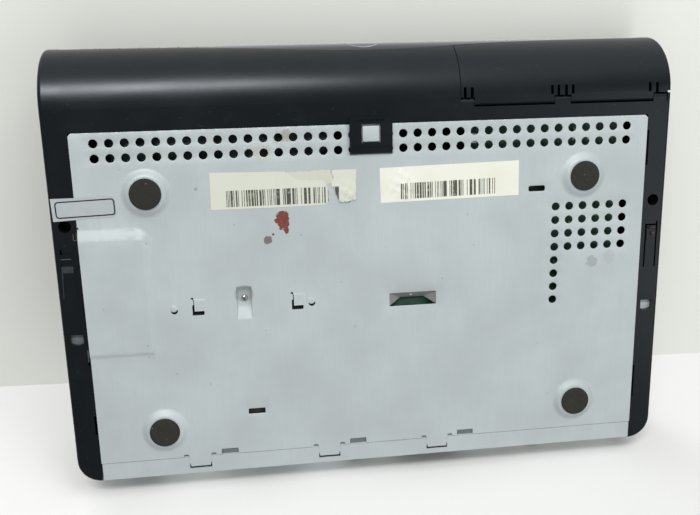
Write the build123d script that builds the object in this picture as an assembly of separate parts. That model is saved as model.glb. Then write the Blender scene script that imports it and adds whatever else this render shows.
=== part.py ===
"""Satellite television receiver with a recorder drive: a slim set-top box.

A one-piece black plastic cover with a half-round nose slides over a pressed steel base tray.
The nose carries a gloss fascia with six keys and a ring of light, and a flap at its right end
that drops down to show a bay with the card slot and a data socket. A folded steel panel
closes the rear and carries the sockets. Inside are the main board, the power board, the
recorder drive in its cradle, the cooling fan and the front board.

Millimetres. X runs to the right as seen from the front, Y rearwards, Z up from the shelf.
Every piece is drawn with y counted from the foremost line of the nose; keep() then moves it
so that the origin lies on the shelf under the middle of the whole.
"""
from build123d import *
import os

os.makedirs("parts", exist_ok=True)

# ------------------------------------------------------------------ overall sizes
case_width = 365.0          # across the plastic sides
case_depth = 256.3          # nose to the rear edge of the cover
body_height = 66.0          # outer face of the base plate to the top of the cover
foot_height = 4.0           # outer face of the base plate to the shelf
case_half = case_width / 2
top_z = foot_height + body_height
panel_face = case_depth - 1.5       # y of the rear panel's outer face

# ------------------------------------------------------------------ cover
wall = 2.4                  # plastic wall of the cover
strip_step = 0.4            # the plastic underside sits this far inside the plate's face
rear_corner_radius = 14.3   # upright rear corners
edge_round = 2.5            # soft outline edges of the case
strip_width = 14.1          # the cover's under-strips either side of the base tray
tray_opening_half = case_half - strip_width
top_vent_fields = (-137.0, 35.0)    # x of the first slot of each field in the top
top_vent_columns = 13
top_vent_rows = (175.0,)
top_vent_length = 60.0
side_vent_start = 165.0
side_vent_pitch = 10.0
side_vent_count = 5
seam_gap = 0.3              # gap between cover and tray, and at the tray's rear seam
strip_screw = (case_half - 7.7, 97.4)   # x to either side and y of the screws in the under-strips
well_radius = 3.5           # their heads sit in wells of this radius
well_top = 17.0             # height of the wells' ends

# ------------------------------------------------------------------ gloss fascia on the nose
fascia_inset = 8.0          # the fascia ends this far inside the case's sides
fascia_half = case_half - fascia_inset
fascia_top = top_z - 10.0   # height of its upper edge
fascia_gap = 0.15           # gap round the fascia
smile_low = 20.9            # height of its lower edge at the middle
smile_core = 50.0           # half width of the lower edge's middle arc
smile_core_rise = 3.1       # rise of the middle arc
smile_rise = 10.6           # rise of the lower edge from the middle to the ends
lip_reach = 3.0             # the fascia's inner lip reaches this far behind the cover's edge
lip_thick = 1.1
fascia_extra = 0.2          # the fascia is this much thicker than the cover's wall

# ------------------------------------------------------------------ keys and ring of light
key_count = 6
key_pitch = 11.05
key_row_left = 12.2 - fascia_half   # left end of the row of keys
key_height = 7.2
key_gap = 0.4
key_travel = 0.6
key_stem = 5.0              # square stem behind each key
key_stem_end = 9.6          # y of the stem's end
ring_drop = 2.0             # the ring's centre lies this far below the nose's middle
ring_radius = 10.8
ring_width = 1.7
ring_gap = 0.2
ring_end = 13.6             # y of the light guide's inner end

# ------------------------------------------------------------------ flap and its bay
flap_left = 53.0            # left end of the flap's opening
flap_wall = 2.0
flap_gap = 0.4
hinge_y = 35.2
barrel_radius = 2.3
hinge_pin_radius = 1.1
hinge_clearance = 0.05
hinge_pin_length = 3.0
hinge_side_gap = 0.3
cheek_gap = 1.2             # the end cheek stops this far ahead of the cover, to swing clear of it
lug_spans = ((flap_left, flap_left + 8.2), (110.0, 119.6), (case_half - 11.3, case_half - 3.1))
cheek_slope = 0.8           # rise over run of the flap's end cheek
bay_wall = 1.8
bay_rear = 39.3             # y of the bay's rear wall
bay_ceiling = 36.0
card_slot_x = 95.0
card_slot_width = 58.0
card_slot_height = 2.6
card_plane = 15.5           # height of the card
usb_x = 143.0
bay_front = 4.4             # y of the ceiling's front end, behind the fascia's lip

# ------------------------------------------------------------------ base tray, sheet steel
sheet = 0.8
tray_half = tray_opening_half - seam_gap
tray_front = 45.7
tray_seam = panel_face - 10.8       # y of the seam with the rear panel
tab_places = (-109.1, -29.4, 39.3)  # x of the tongues at that seam
tab_end = panel_face - 3.6          # y of the tongues' ends
tray_side_height = 10.0
vent_radius = 2.5
vent_sides = 6              # the many small vents are drawn as prisms of this many sides
vent_pitch_x = 8.5
vent_pitch_y = 8.35
vent_row_y = 51.6           # first row of vents
vent_columns = 18           # on each side of the clip
vent_inner_x = 10.55        # innermost vent column
block_vent_rows = 4
block_vent_columns = 6
block_vent_x = 155.05       # outermost column of the block of vents
block_vent_y = 98.75
tail_vents = 4              # further vents down the block's inner column
foot_x = 128.8
foot_front_y = 80.3
foot_pitch_y = tray_seam - 19.0 - foot_front_y
foot_base_radius = 13.6
foot_top_radius = 9.6
foot_sides = 24
pad_radius = 8.9
pad_thick = 1.2
pocket_depth = 3.0          # the rivet's pocket is pressed in this far
rivet_place = (-77.0, 145.5)
rivet_radius = 1.2
rivet_bore = rivet_radius + 0.1

# ------------------------------------------------------------------ rear panel
panel_half = tray_half - 0.4
panel_lap = 8.0             # its bottom flange laps this far over the tray
f_reach = 9.5               # aerial sockets stand out of the panel

# ------------------------------------------------------------------ screws, drawn as plain prisms
small_sides = 8             # small hidden rounds are prisms of this many sides
round_sides = 16            # and larger hidden rounds of this many
screw_radius = 1.45
screw_clearance = 0.1
screw_sides = 6
board_screw_length = 4.6

# ------------------------------------------------------------------ boards
board_thick = 1.6
processor_place = (90.0, 166.0)
processor_size = 32.0
processor_thick = 2.2
board_can_places = ((20, 100, 16, 5), (34, 128, 12, 5))
power_can_places = ((-144, 206, 32, 10), (-134, 125, 20, 5))
main_board_z = 10.8         # underside of the main board
main_board_left = -16.0
main_board_right = 152.0
main_board_front = 82.0
main_board_tongue_left = 58.0
main_board_tongue_front = 47.5
main_board_rear = panel_face - 2.8
power_board_z = 12.0
power_board_left = -164.0
power_board_right = -126.5
power_board_front = 75.0
power_board_rear = panel_face - 14.8
front_board_y = 15.0
front_board_left = key_row_left - 5.7
front_board_right = 48.0
front_board_bottom = 24.0
front_board_top = 52.0

# ------------------------------------------------------------------ recorder drive and fan
drive_width = 101.6
drive_length = 147.0
drive_height = 26.1
drive_left = -122.0
drive_front = 86.0
cradle_floor_z = 8.0
drive_screw_rise = 6.4      # height of the side screws above the cradle's floor
fan_size = 60.0
fan_thick = 15.0
fan_x = -70.0
fan_seat_share = 3 / 7      # share of the fan's spare height that lies below it
fan_front = panel_face - sheet - 1.4 - fan_thick
fan_blades = 7
fan_tip_clearance = 0.8
fan_shaft_radius = 1.5
fan_shaft_clearance = 0.05

# ------------------------------------------------------------------ worked out from the above
plate_z = foot_height
under_z = plate_z + strip_step
nose_radius = (top_z - under_z) / 2
nose_z = (top_z + under_z) / 2
ring_z = nose_z - ring_drop
hinge_z = under_z + barrel_radius
overall_depth = panel_face + f_reach
floor_z = plate_z + sheet
main_top = main_board_z + board_thick
power_top = power_board_z + board_thick
panel_inner = panel_face - sheet
panel_top = top_z - wall - 0.4
lap_z = floor_z + 0.1       # underside of the rear panel's lap over the tray
fan_room = panel_top - sheet - (lap_z + sheet) - fan_size
fan_bottom = lap_z + sheet + fan_room * fan_seat_share


# ------------------------------------------------------------------ small helpers
def block(x0, x1, y0, y1, z0, z1):
    """Box between two corners."""
    return Pos((x0 + x1) / 2, (y0 + y1) / 2, (z0 + z1) / 2) * Box(x1 - x0, y1 - y0, z1 - z0)


def rod_x(x0, x1, y, z, radius):
    return Pos((x0 + x1) / 2, y, z) * Rot(0, 90, 0) * Cylinder(radius, x1 - x0)


def rod_y(x, y0, y1, z, radius):
    return Pos(x, (y0 + y1) / 2, z) * Rot(90, 0, 0) * Cylinder(radius, y1 - y0)


def rod_z(x, y, z0, z1, radius):
    return Pos(x, y, (z0 + z1) / 2) * Cylinder(radius, z1 - z0)


def prism_y(x, y0, y1, z, radius, sides, hole=False):
    """Prism along y in place of a round: its corners lie on the radius, or its flats where it is a hole."""
    outline = RegularPolygon(radius, sides, major_radius=not hole)
    return Pos(x, y0, z) * Rot(-90, 0, 0) * extrude(outline, amount=y1 - y0)


def prism_z(x, y, z0, z1, radius, sides, hole=False):
    """The same along z."""
    return Pos(x, y, z0) * extrude(RegularPolygon(radius, sides, major_radius=not hole), amount=z1 - z0)


def prism_x(points, x0, x1):
    """Prism between two x planes from an outline of (y, z) points."""
    face = make_face(Polyline(*[(x0, y, z) for y, z in points], close=True).edges())
    return extrude(face, amount=x1 - x0, dir=(1, 0, 0))


def keep(node, shape):
    """Write one node, moved so that the origin lies under the middle of the whole."""
    solids = shape.solids() if hasattr(shape, "solids") else [s for part in shape for s in part.solids()]
    moved = [Pos(0, -overall_depth / 2, 0) * solid for solid in solids]
    export_step(moved[0] if len(moved) == 1 else Compound(children=moved), f"parts/{node}.step")


# ------------------------------------------------------------------ forms shared by the shells
def case_form(inset, soft=False):
    """The D-shaped body of the case, drawn in by inset: half-round nose, round rear corners."""
    low, high = under_z + inset, top_z - inset
    rear = case_depth - inset
    outline = [
        Line((0, nose_radius, low), (0, rear, low)),
        Line((0, rear, low), (0, rear, high)),
        Line((0, rear, high), (0, nose_radius, high)),
        ThreePointArc((0, nose_radius, high), (0, inset, nose_z), (0, nose_radius, low)),
    ]
    form = extrude(make_face(outline), amount=case_half - inset, both=True)
    uprights = form.edges().filter_by(Axis.Z).group_by(Axis.Y)[-1]
    form = fillet(uprights, rear_corner_radius - inset)
    if not soft:
        return form
    upright = form.edges().filter_by(Axis.Z)
    side_limit = case_half - rear_corner_radius
    outline_edges = [e for e in form.edges() if e not in upright
                     and (abs(e.center().X) > side_limit or e.center().Y > rear - 1)]
    return fillet(outline_edges, edge_round)


def above_smile(shift):
    """Everything in the nose above the fascia's lower edge, which is moved up by shift."""
    low = smile_low + shift
    side = low + smile_core_rise
    end = low + smile_rise
    far, lid, start = case_half + 20, top_z + 30, -5
    core = ThreePointArc((-smile_core, start, side), (0, start, low), (smile_core, start, side))
    right = TangentArc((smile_core, start, side), (fascia_half, start, end), tangent=core % 1)
    left = TangentArc((-smile_core, start, side), (-fascia_half, start, end), tangent=-(core % 0))
    rest = Polyline((fascia_half, start, end), (far, start, end), (far, start, lid), (-far, start, lid),
                    (-far, start, end), (-fascia_half, start, end))
    face = make_face([core, right, left, *rest.edges()])
    return extrude(face, amount=nose_radius - start, dir=(0, 1, 0))


def fascia_region(grow):
    """The stretch of the nose that the fascia fills, grown by grow on every side."""
    span = fascia_half + grow
    window = block(-span, span, -5, nose_radius, 0, fascia_top + grow)
    return above_smile(-grow) & window


case_outer = case_form(0, soft=True)
case_inner = case_form(wall)


# ------------------------------------------------------------------ fascia, keys, ring of light
def smile_height(x):
    """Height of the fascia's lower edge at x, read off the edge itself."""
    probe = block(x - 0.05, x + 0.05, -4, -3, 0, top_z)
    return (probe & above_smile(0)).bounding_box().min.Z


def key_left(index):
    return key_row_left + index * key_pitch


def make_fascia():
    ring = case_outer - case_form(wall + fascia_extra)
    plate = ring & fascia_region(-fascia_gap)
    lip = case_form(wall + fascia_extra / 2) - case_form(wall + fascia_extra / 2 + lip_thick)
    lip = lip & (fascia_region(lip_reach) - fascia_region(-2))
    fascia = plate + lip
    for index in range(key_count):
        x0 = key_left(index)
        fascia -= above_smile(-lip_reach - 1) & block(x0, x0 + key_pitch, -5, 12, 0, top_z) \
            & (above_smile(-lip_reach - 1) - above_smile(key_height + key_gap / 2))
    fascia -= rod_y(0, -1, 12, ring_z, ring_radius + ring_gap)
    for x in (key_left(key_count) + 11, front_board_right - 26, front_board_right - 4):
        fascia += prism_y(x, 0, front_board_y, front_board_top - 6, 2.5, small_sides) & case_form(wall)
    return fascia


def make_key(index):
    x0 = key_left(index) + key_gap / 2
    x1 = key_left(index) + key_pitch - key_gap / 2
    middle = (x0 + x1) / 2
    stem_z = smile_height(middle) + key_height / 2
    cap = (case_outer - case_form(wall)) & block(x0, x1, -5, 20, 0, top_z)
    cap = cap & (above_smile(key_gap) - above_smile(key_height))
    half = key_stem / 2
    stem = block(middle - half, middle + half, 0, key_stem_end, stem_z - half, stem_z + half)
    return cap + (stem & case_form(wall / 2))


def make_ring():
    """Light guide: a clear tube whose front follows the nose, with a seat for the cap inside."""
    tube = rod_y(0, -5, ring_end, ring_z, ring_radius)
    tube -= rod_y(0, -5, ring_end, ring_z, ring_radius - ring_width)
    seat = rod_y(0, 5.0, 6.2, ring_z, ring_radius - ring_width + 0.2)
    return (tube & case_outer) + seat


def make_ring_cap():
    return rod_y(0, -5, 4.9, ring_z, ring_radius - ring_width - ring_gap) & case_outer


# ------------------------------------------------------------------ flap
def cheek_line(y):
    """Height of the flap's slanting end cheek at y."""
    return hinge_z + cheek_slope * (hinge_y - y)


def flap_region(rear, grow):
    """Outline in (y, z) of what lies below the cheek line and in front of rear."""
    return [(rear, 0), (rear, cheek_line(rear) + grow), (-5, cheek_line(-5) + grow), (-5, 0)]


def barrel_spans():
    """Spans of the flap's barrel between neighbouring lugs."""
    return [(a[1] + hinge_side_gap, b[0] - hinge_side_gap) for a, b in zip(lug_spans, lug_spans[1:])]


def finger_slots():
    """Slots beside the lugs that make springy fingers of the flap's root: (x, opens to rear)."""
    left, middle, right = lug_spans
    return ((left[0] + 1.9, True), (left[1] - 2.1, True), (middle[0] - 2.7, False), (middle[0] + 1.2, True),
            (middle[1] - 3.7, True), (middle[1] + 0.4, False), (right[0] - 3.4, False), (right[0] + 1.1, True))


def make_flap():
    shell = case_outer - case_form(flap_wall)
    root = hinge_y - barrel_radius - flap_gap
    left = flap_left + flap_gap
    cheek = case_half - wall - seam_gap
    panel = shell & prism_x(flap_region(root, 0), left, cheek)
    panel += shell & prism_x(flap_region(root + flap_gap - cheek_gap, 0), cheek - 0.1, case_half + 1)
    flap = panel - above_smile(-flap_gap)
    for x0, x1 in barrel_spans():
        flap += rod_x(x0, x1, hinge_y, hinge_z, barrel_radius)
        flap += block(x0, x1, root - 1, hinge_y, under_z, under_z + flap_wall)
        flap += rod_x(x0 - hinge_pin_length, x0 + 1, hinge_y, hinge_z, hinge_pin_radius)
        flap += rod_x(x1 - 1, x1 + hinge_pin_length, hinge_y, hinge_z, hinge_pin_radius)
    slot_width, slot_front, slot_rear = 1.7, root - 5.8, root - 0.6
    for x, opens in finger_slots():
        flap -= block(x, x + slot_width, slot_front, slot_rear + (3 if opens else 0), 0, hinge_z + 4)
    for x in (86.0, 114.8, 145.0):
        band = case_form(flap_wall - 0.2) - case_form(flap_wall + 2.4)
        rib = prism_x(flap_region(root - 7, 0), x, x + 1.2) & band
        flap += rib - above_smile(-flap_gap - 4)
    return flap


# ------------------------------------------------------------------ cover
def make_tongue():
    """Spring clip that laps over the plate's front edge, with a square window for the barb."""
    half, reach, thick, rim = 12.4, 62.8, 2.0, 40.9
    low, lift = plate_z - thick, 1.2
    body = prism_x([(rim, under_z + 0.4), (rim + lift, low), (reach - lift, low), (reach, low + lift),
                    (reach, under_z + 0.4)], -half, half)
    body -= block(-half - 1, half + 1, tray_front - seam_gap, reach + 1, plate_z - 0.2, under_z + 1)
    body -= block(-5.5, 5.5, 45.5, 56.1, 0, under_z + 1)
    body -= block(-7.6, 7.6, 42.9, 44.1, 0, low + 0.7)
    step = block(-half + 0.8, half - 0.8, reach - 4.2, reach + 1, 0, low + 0.5)
    return body - step


def strip_details(side):
    """Cuts in one under-strip: screw well, snap finger, window on to the tray's ear, edge notches."""
    lip = under_z + wall + 1
    inner, outer = case_half - 11.6, case_half - 4.6
    x, y = side * strip_screw[0], strip_screw[1]
    cuts = [rod_z(x, y, 0, well_top, well_radius), Pos(x, y, well_top) * screw_bore(5)]
    for x, front in ((inner, 113.0), (outer, 110.6)):
        cuts.append(block(*sorted((side * x, side * (x + 1.0))), front, 139.7, 0, lip))
    ends = sorted((side * inner, side * (outer + 1.0)))
    cuts.append(block(ends[0], ends[1], 112.4, 113.4, 0, lip))
    sides = sorted((side * (inner + 0.1), side * (outer + 0.5)))
    moon = rod_z(side * (case_half - 7.9), 161.4, 0, lip, 6.6) & block(*sides, 161.4, 169, 0, lip)
    cuts.append(moon)
    notches = ((54.7, 75.8), (204.8, 226.4)) if side > 0 else ((212.9, 224.6), (171.5, 180.9))
    edge = sorted((side * (tray_opening_half - 1), side * (tray_opening_half + 1.4)))
    for y0, y1 in notches:
        cuts.append(block(*edge, y0, y1, 0, lip))
    return cuts


def top_vents():
    """Two fields of slots over the boards and the drive, clear of the flat middle of the top."""
    cuts = []
    for x0 in top_vent_fields:
        for column in range(top_vent_columns):
            x = x0 + vent_pitch_x * column
            for y in top_vent_rows:
                cuts.append(block(x - 1.2, x + 1.2, y - top_vent_length / 2, y + top_vent_length / 2,
                                  top_z - wall - 1, top_z + 1))
    return cuts


def side_vents(side):
    """Row of upright slots in a side wall, towards the rear."""
    wide, tall, middle = 2.2, 20.0, plate_z + body_height * 0.55
    ends = sorted((side * (case_half - wall - 1), side * (case_half + 1)))
    rows = [side_vent_start + side_vent_pitch * index for index in range(side_vent_count)]
    return [block(*ends, y - wide / 2, y + wide / 2, middle - tall / 2, middle + tall / 2) for y in rows]


def make_cover():
    cover = case_outer - case_inner
    opening = tray_opening_half
    cover -= block(-opening, opening, tray_front - seam_gap, case_depth + 5, 0, under_z + wall + 0.01)
    cover -= block(-opening, opening, case_depth - wall - 0.01, case_depth + 5, 0, top_z - wall)
    cover -= fascia_region(0)
    # opening for the flap, up to the fascia and back to the hinge
    chin = hinge_y + barrel_radius + hinge_side_gap
    cheek = case_half - wall - 0.01
    flap_cut = prism_x(flap_region(chin, flap_gap), flap_left, cheek)
    root = hinge_y - barrel_radius
    flap_cut += prism_x(flap_region(root, flap_gap), cheek - 0.01, case_half + 5)
    flap_cut += block(flap_left, cheek, hinge_y - barrel_radius - 5, chin, 0, hinge_z + 3)
    cover -= flap_cut - above_smile(0)
    # walls of the bay behind the flap
    left, right = flap_left - bay_wall, case_half - wall / 2
    bay = block(left, right, bay_rear, bay_rear + bay_wall, under_z + 0.5, bay_ceiling + bay_wall)
    bay += block(left, right, bay_front, bay_rear + bay_wall, bay_ceiling, bay_ceiling + bay_wall)
    partition = block(left, flap_left, 0, bay_rear + bay_wall, under_z, bay_ceiling + bay_wall)
    lip_bottom = smile_low + smile_core_rise - lip_reach - 0.5
    bay += partition & case_form(wall + fascia_extra + lip_thick + 0.3)
    bay += partition & case_form(wall - 0.2) & block(left, flap_left, 0, 45, 0, lip_bottom)
    slot_half, slot_up = card_slot_width / 2 + 0.8, card_slot_height / 2
    bay -= block(card_slot_x - slot_half, card_slot_x + slot_half, 38, 45,
                 card_plane - slot_up, card_plane + slot_up)
    bay -= block(usb_x - 6.9, usb_x + 6.9, 38, 45, main_top - 0.2, main_top + 7.4)
    cover += bay & case_form(wall / 2)
    # hinge lugs with blind bores for the flap's pins
    for x0, x1 in lug_spans:
        cover += rod_x(x0, x1, hinge_y, hinge_z, barrel_radius)
        cover += block(x0, x1, hinge_y, bay_rear + 0.5, under_z, hinge_z + barrel_radius)
    bore_radius, bore_depth = hinge_pin_radius + hinge_clearance, hinge_pin_length + 0.6
    for x0, x1 in barrel_spans():
        cover -= rod_x(x0 - bore_depth, x0, hinge_y, hinge_z, bore_radius)
        cover -= rod_x(x1, x1 + bore_depth, hinge_y, hinge_z, bore_radius)
    cover += make_tongue()
    for side in (-1, 1):
        boss = prism_z(side * strip_screw[0], strip_screw[1], under_z + 0.5, well_top + 3, well_radius + 1.9,
                       small_sides)
        cover += boss & case_form(wall / 2)
        for cut in strip_details(side):
            cover -= cut
        for vent in side_vents(side):
            cover -= vent
    for vent in top_vents():
        cover -= vent
    return cover


# ------------------------------------------------------------------ base tray
def vent_places():
    """Centres of all the vents: two rows either side of the clip, a block and its tail."""
    places = []
    for row in range(2):
        for column in range(vent_columns):
            x = vent_inner_x + column * vent_pitch_x
            places += [(-x, vent_row_y + row * vent_pitch_y), (x, vent_row_y + row * vent_pitch_y)]
    for row in range(block_vent_rows):
        for column in range(block_vent_columns):
            places.append((block_vent_x - column * vent_pitch_x, block_vent_y + row * vent_pitch_y))
    inner = block_vent_x - (block_vent_columns - 1) * vent_pitch_x
    for row in range(block_vent_rows, block_vent_rows + tail_vents):
        places.append((inner, block_vent_y + row * vent_pitch_y))
    return places


def foot_places():
    return [(side * foot_x, foot_front_y + row * foot_pitch_y) for side in (-1, 1) for row in (0, 1)]


def pressed_foot(inset, low, high):
    """One face of a pressed foot, from its base at high to its flat at low, as a cone of many sides."""
    flat = Pos(0, 0, low) * RegularPolygon(foot_top_radius - inset, foot_sides)
    base = Pos(0, 0, high) * RegularPolygon(foot_base_radius - inset, foot_sides)
    return loft([flat.face(), base.face()]) + extrude(base, amount=2)


def sunk_pan(x0, x1, y0, y1, slopes, start, end):
    """Loft between two rectangles: (x0..x1, y0..y1) at start, drawn in by slopes at end."""
    left, right, front, rear = slopes
    faces = []
    for a, b, c, d, z in ((x0, x1, y0, y1, start), (x0 + left, x1 - right, y0 + front, y1 - rear, end)):
        faces.append(make_face(Polyline((a, c, z), (b, c, z), (b, d, z), (a, d, z), close=True).edges()))
    return loft(faces)


def make_tray():
    rear = tray_seam - seam_gap / 2
    tray = block(-tray_half, tray_half, tray_front, rear, plate_z, floor_z)
    tray += block(-tray_half, tray_half, tray_front, tray_front + sheet, plate_z, floor_z + 5)
    for side in (-1, 1):
        outer, inner = side * tray_half, side * (tray_half - sheet)
        tray += block(*sorted((outer, inner)), tray_front, rear, plate_z, plate_z + tray_side_height)
        # ears that reach over the cover's strips: one for the screw, one behind the window
        screw_ear = (strip_screw[1] - 7, strip_screw[1] + 7, well_top + 3.1)
        for y0, y1, z in (screw_ear, (157.5, 173.5, under_z + wall + 0.3)):
            tray += block(*sorted((outer, inner)), y0, y1, plate_z, z + sheet)
            tray += block(*sorted((inner, side * (case_half - wall - 1.5))), y0, y1, z, z + sheet)
        tray -= Pos(side * strip_screw[0], strip_screw[1], well_top + 3) * screw_bore(3)
    # raised field at the left edge
    left, right, front, back, raise_by = -tray_half, -foot_x, 102.1, 178.0, 2.0
    slopes = (0, 4.2, 5.5, 2.0)
    tray += sunk_pan(left, right, front, back, slopes, floor_z, plate_z - raise_by)
    hollow = sunk_pan(left + sheet, right, front, back, slopes, floor_z, plate_z - raise_by)
    tray -= Pos(0, 0, sheet) * hollow
    tray -= block(left + sheet, right - 0.4, front + 0.6, back - 0.4, floor_z - 0.3, floor_z + sheet)
    # barb under the cover's clip
    root, tip = plate_z + 0.1, plate_z - 1.5
    tray += prism_x([(46.4, root), (55.2, tip), (55.7, tip), (55.7, root)], -4.9, 4.9)
    # pocket for the cradle's rivet, pressed inwards
    slopes = (0.4, 0.4, 2.6, 8.0)
    pocket = sunk_pan(-81.6, -72.6, 137.6, 158.0, slopes, plate_z - 0.01, plate_z + pocket_depth)
    tray += Pos(0, 0, sheet) * pocket
    tray -= pocket
    tray -= prism_z(*rivet_place, plate_z, plate_z + pocket_depth + 3, rivet_bore, small_sides, hole=True)
    for x, y in foot_places():
        tray -= prism_z(x, y, 0, floor_z + 1, foot_base_radius - 0.2, foot_sides)
        cup = pressed_foot(0, pad_thick, plate_z)
        cup -= Pos(0, 0, sheet) * pressed_foot(sheet * 0.8, pad_thick, plate_z)
        tray += Pos(x, y, 0) * (cup & block(-20, 20, -20, 20, 0, floor_z))
    vent = Rot(0, 0, 180 / vent_sides) * extrude(RegularPolygon(vent_radius, vent_sides), amount=10)
    for x, y in vent_places():
        tray -= Pos(x, y, 0) * vent
    tray -= make_tray_cuts()
    for x in tab_places:
        tray += block(x - 6.3, x + 6.3, rear - 1, tab_end, plate_z, floor_z)
        for root in (x - 8.2, x + 8.2):
            tray -= block(root - 1.9, root + 1.9, rear - 1.6, rear + 0.1, 0, floor_z + 1)
        tray -= block(x + 18.2 - 5.3, x + 18.2 + 5.3, rear - 5.1, rear - 1.6, 0, floor_z + 1)
    # lips of the board window, bent inwards
    low, high = floor_z - 0.4, floor_z + 4.4
    for x0 in (9.0, 38.5):
        tray += prism_x([(147.2, low), (155.4, low), (149.0, high), (147.2, high)], x0, x0 + sheet)
    return tray


def make_tray_cuts():
    """Windows, slots and lances in the plate."""
    cuts = block(9.8, 38.5, 147.2, 155.4, 0, 10)
    for x, y in ((100.25, 87.15), (-73.1, 216.8)):
        cuts += Pos(x, y, 0) * extrude(SlotOverall(10.2, 3.4), amount=10)
    for x in (-107.6, -49.2):
        cuts += block(x, x + 1.3, 147.8, 153.8, 0, 10)
        cuts += block(x, x + 7.0, 151.2, 153.8, 0, 10)
        cuts += block(x - 0.5, x + 0.9, 142.9, 143.9, 0, 10)
    for x, y in ((-118.0, 150.4), (-37.2, 150.2)):
        cuts += rod_z(x, y, 0, 10, 2.0) - rod_z(x - 0.3, y - 1.2, -1, 11, 2.1)
    return cuts


def make_pads():
    return [rod_z(x, y, 0, pad_thick, pad_radius) for x, y in foot_places()]


def make_cover_screws():
    """Screws driven up from the wells in the cover's strips into the tray's ears."""
    return [Pos(side * strip_screw[0], strip_screw[1], well_top) * Rot(180, 0, 0) * make_screw(4.5)
            for side in (-1, 1)]


# ------------------------------------------------------------------ rear panel and its sockets
rf_x, network_x, phone_x, scart_x, hdmi_x, phono_x = 110.0, 90.0, 72.0, 38.0, 2.0, -11.5
f_places = ((145.0, 28.0), (128.0, 28.0))
f_radius = 4.7
inlet_x, inlet_z = -146.0, 22.5
inlet_pin_pitch = 8.6
screw_places = ((136.5, 39.5), (99.5, 50.0), (64.5, 58.0), (14.0, 58.0), (-124.0, 22.5), (-160.0, 58.0))
rf_heights = (27.0, 44.0)
rf_body_half = 7.5
phono_heights = (26.0, 40.0)
phono_body_rise = 5.6
phono_radius = 4.15
scart_heights = (21.0, 39.5)
scart_width, scart_tall = 47.0, 15.6
fan_z = fan_bottom + fan_size / 2
fan_screw_pitch = 50.0


def fan_screw_places():
    half = fan_screw_pitch / 2
    return tuple((fan_x + dx, fan_z + dz) for dx in (-half, half) for dz in (-half, half))


def panel_cutouts():
    """Openings in the rear panel, each a little larger than what comes through."""
    y0, y1, c = panel_face - 12, panel_face + 2, 0.3
    rounds = [(x, z, 5.6) for x, z in f_places]
    rounds += [(rf_x, z, 6.4) for z in rf_heights]
    rounds += [(phono_x, z, 4.9) for z in phono_heights]
    cuts = [prism_y(x, y0, y1, z, radius + c, round_sides, hole=True) for x, z, radius in rounds]
    for z in scart_heights:
        half, tall = scart_width / 2 + c, scart_tall / 2 + c
        cuts.append(block(scart_x - half, scart_x + half, y0, y1, z - tall, z + tall))
    for x, z, wide, tall in ((network_x, main_top + 6.9, 15.9, 13.4), (phone_x, main_top + 6.0, 12.6, 11.6),
                             (network_x, main_top + 20.0, 13.2, 5.8), (hdmi_x, main_top + 3.2, 15.0, 6.0),
                             (hdmi_x, main_top + 17.0, 9.8, 9.8), (inlet_x, inlet_z, 24.6, 15.2)):
        cuts.append(block(x - wide / 2 - c, x + wide / 2 + c, y0, y1, z - tall / 2 - c, z + tall / 2 + c))
    return cuts


def grille_slots():
    """Level slots cut off by a circle, behind the fan."""
    reach = fan_size / 2 - 2
    disc = prism_y(fan_x, panel_face - 5, panel_face + 5, fan_z, reach, 2 * round_sides)
    slots = []
    for index in range(-4, 5):
        z = fan_z + index * 6.2
        slot = block(fan_x - reach, fan_x + reach, panel_face - 4, panel_face + 4, z - 1.9, z + 1.9)
        slots.append(slot & disc)
    return slots


def make_rear_panel():
    flange_y = tray_seam + seam_gap / 2
    panel = block(-panel_half, panel_half, panel_inner, panel_face, plate_z, panel_top)
    panel += block(-panel_half, panel_half, flange_y, panel_face, plate_z, floor_z)
    # the flange steps inwards and laps over the tray's rear edge
    half = tray_half - 3
    panel += block(-half, half, flange_y, flange_y + sheet, plate_z, lap_z + sheet)
    panel += block(-half, half, flange_y - panel_lap, flange_y + sheet, lap_z, lap_z + sheet)
    panel += block(-panel_half, panel_half, panel_face - 9, panel_face, panel_top - sheet, panel_top)
    for side in (-1, 1):
        panel += block(*sorted((side * panel_half, side * (panel_half - sheet))), panel_face - 9, panel_face,
                       plate_z, panel_top)
    for x in tab_places:
        panel -= block(x - 6.7, x + 6.7, flange_y - 0.1, tab_end + 0.4, 0, floor_z)
    for cut in panel_cutouts() + grille_slots():
        panel -= cut
    bore = Rot(-90, 0, 0) * screw_bore(3)
    for x, z in screw_places + fan_screw_places():
        panel -= Pos(x, panel_face, z) * bore
    return panel


def make_screw(length, head_radius=2.8, head_height=1.8):
    """Plain screw along +Z: its head's seat at z = 0, the shank below it."""
    head = extrude(RegularPolygon(head_radius, screw_sides), amount=head_height)
    return head + extrude(RegularPolygon(screw_radius, screw_sides), amount=-length)


def screw_bore(length):
    """Clearance bore for a screw's shank, along Z through the origin."""
    bore = extrude(RegularPolygon(screw_radius + screw_clearance, screw_sides), amount=length)
    return bore + Pos(0, 0, -length) * bore


def screw_rear(x, z, face, length):
    """Screw driven forwards into a face at y = face."""
    return Pos(x, face, z) * Rot(-90, 0, 0) * make_screw(length)


def make_f_socket(x, z):
    """Threaded aerial socket with its hexagon nut face and centre hole."""
    nut = Pos(x, panel_inner, z) * Rot(-90, 0, 0) * extrude(RegularPolygon(5.5, 6), amount=sheet + 1.4)
    barrel = rod_y(x, panel_inner - 4, panel_face + f_reach, z, f_radius)
    return nut + barrel - prism_y(x, panel_face + f_reach - 7, panel_face + f_reach + 1, z, 2.2, small_sides)


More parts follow.
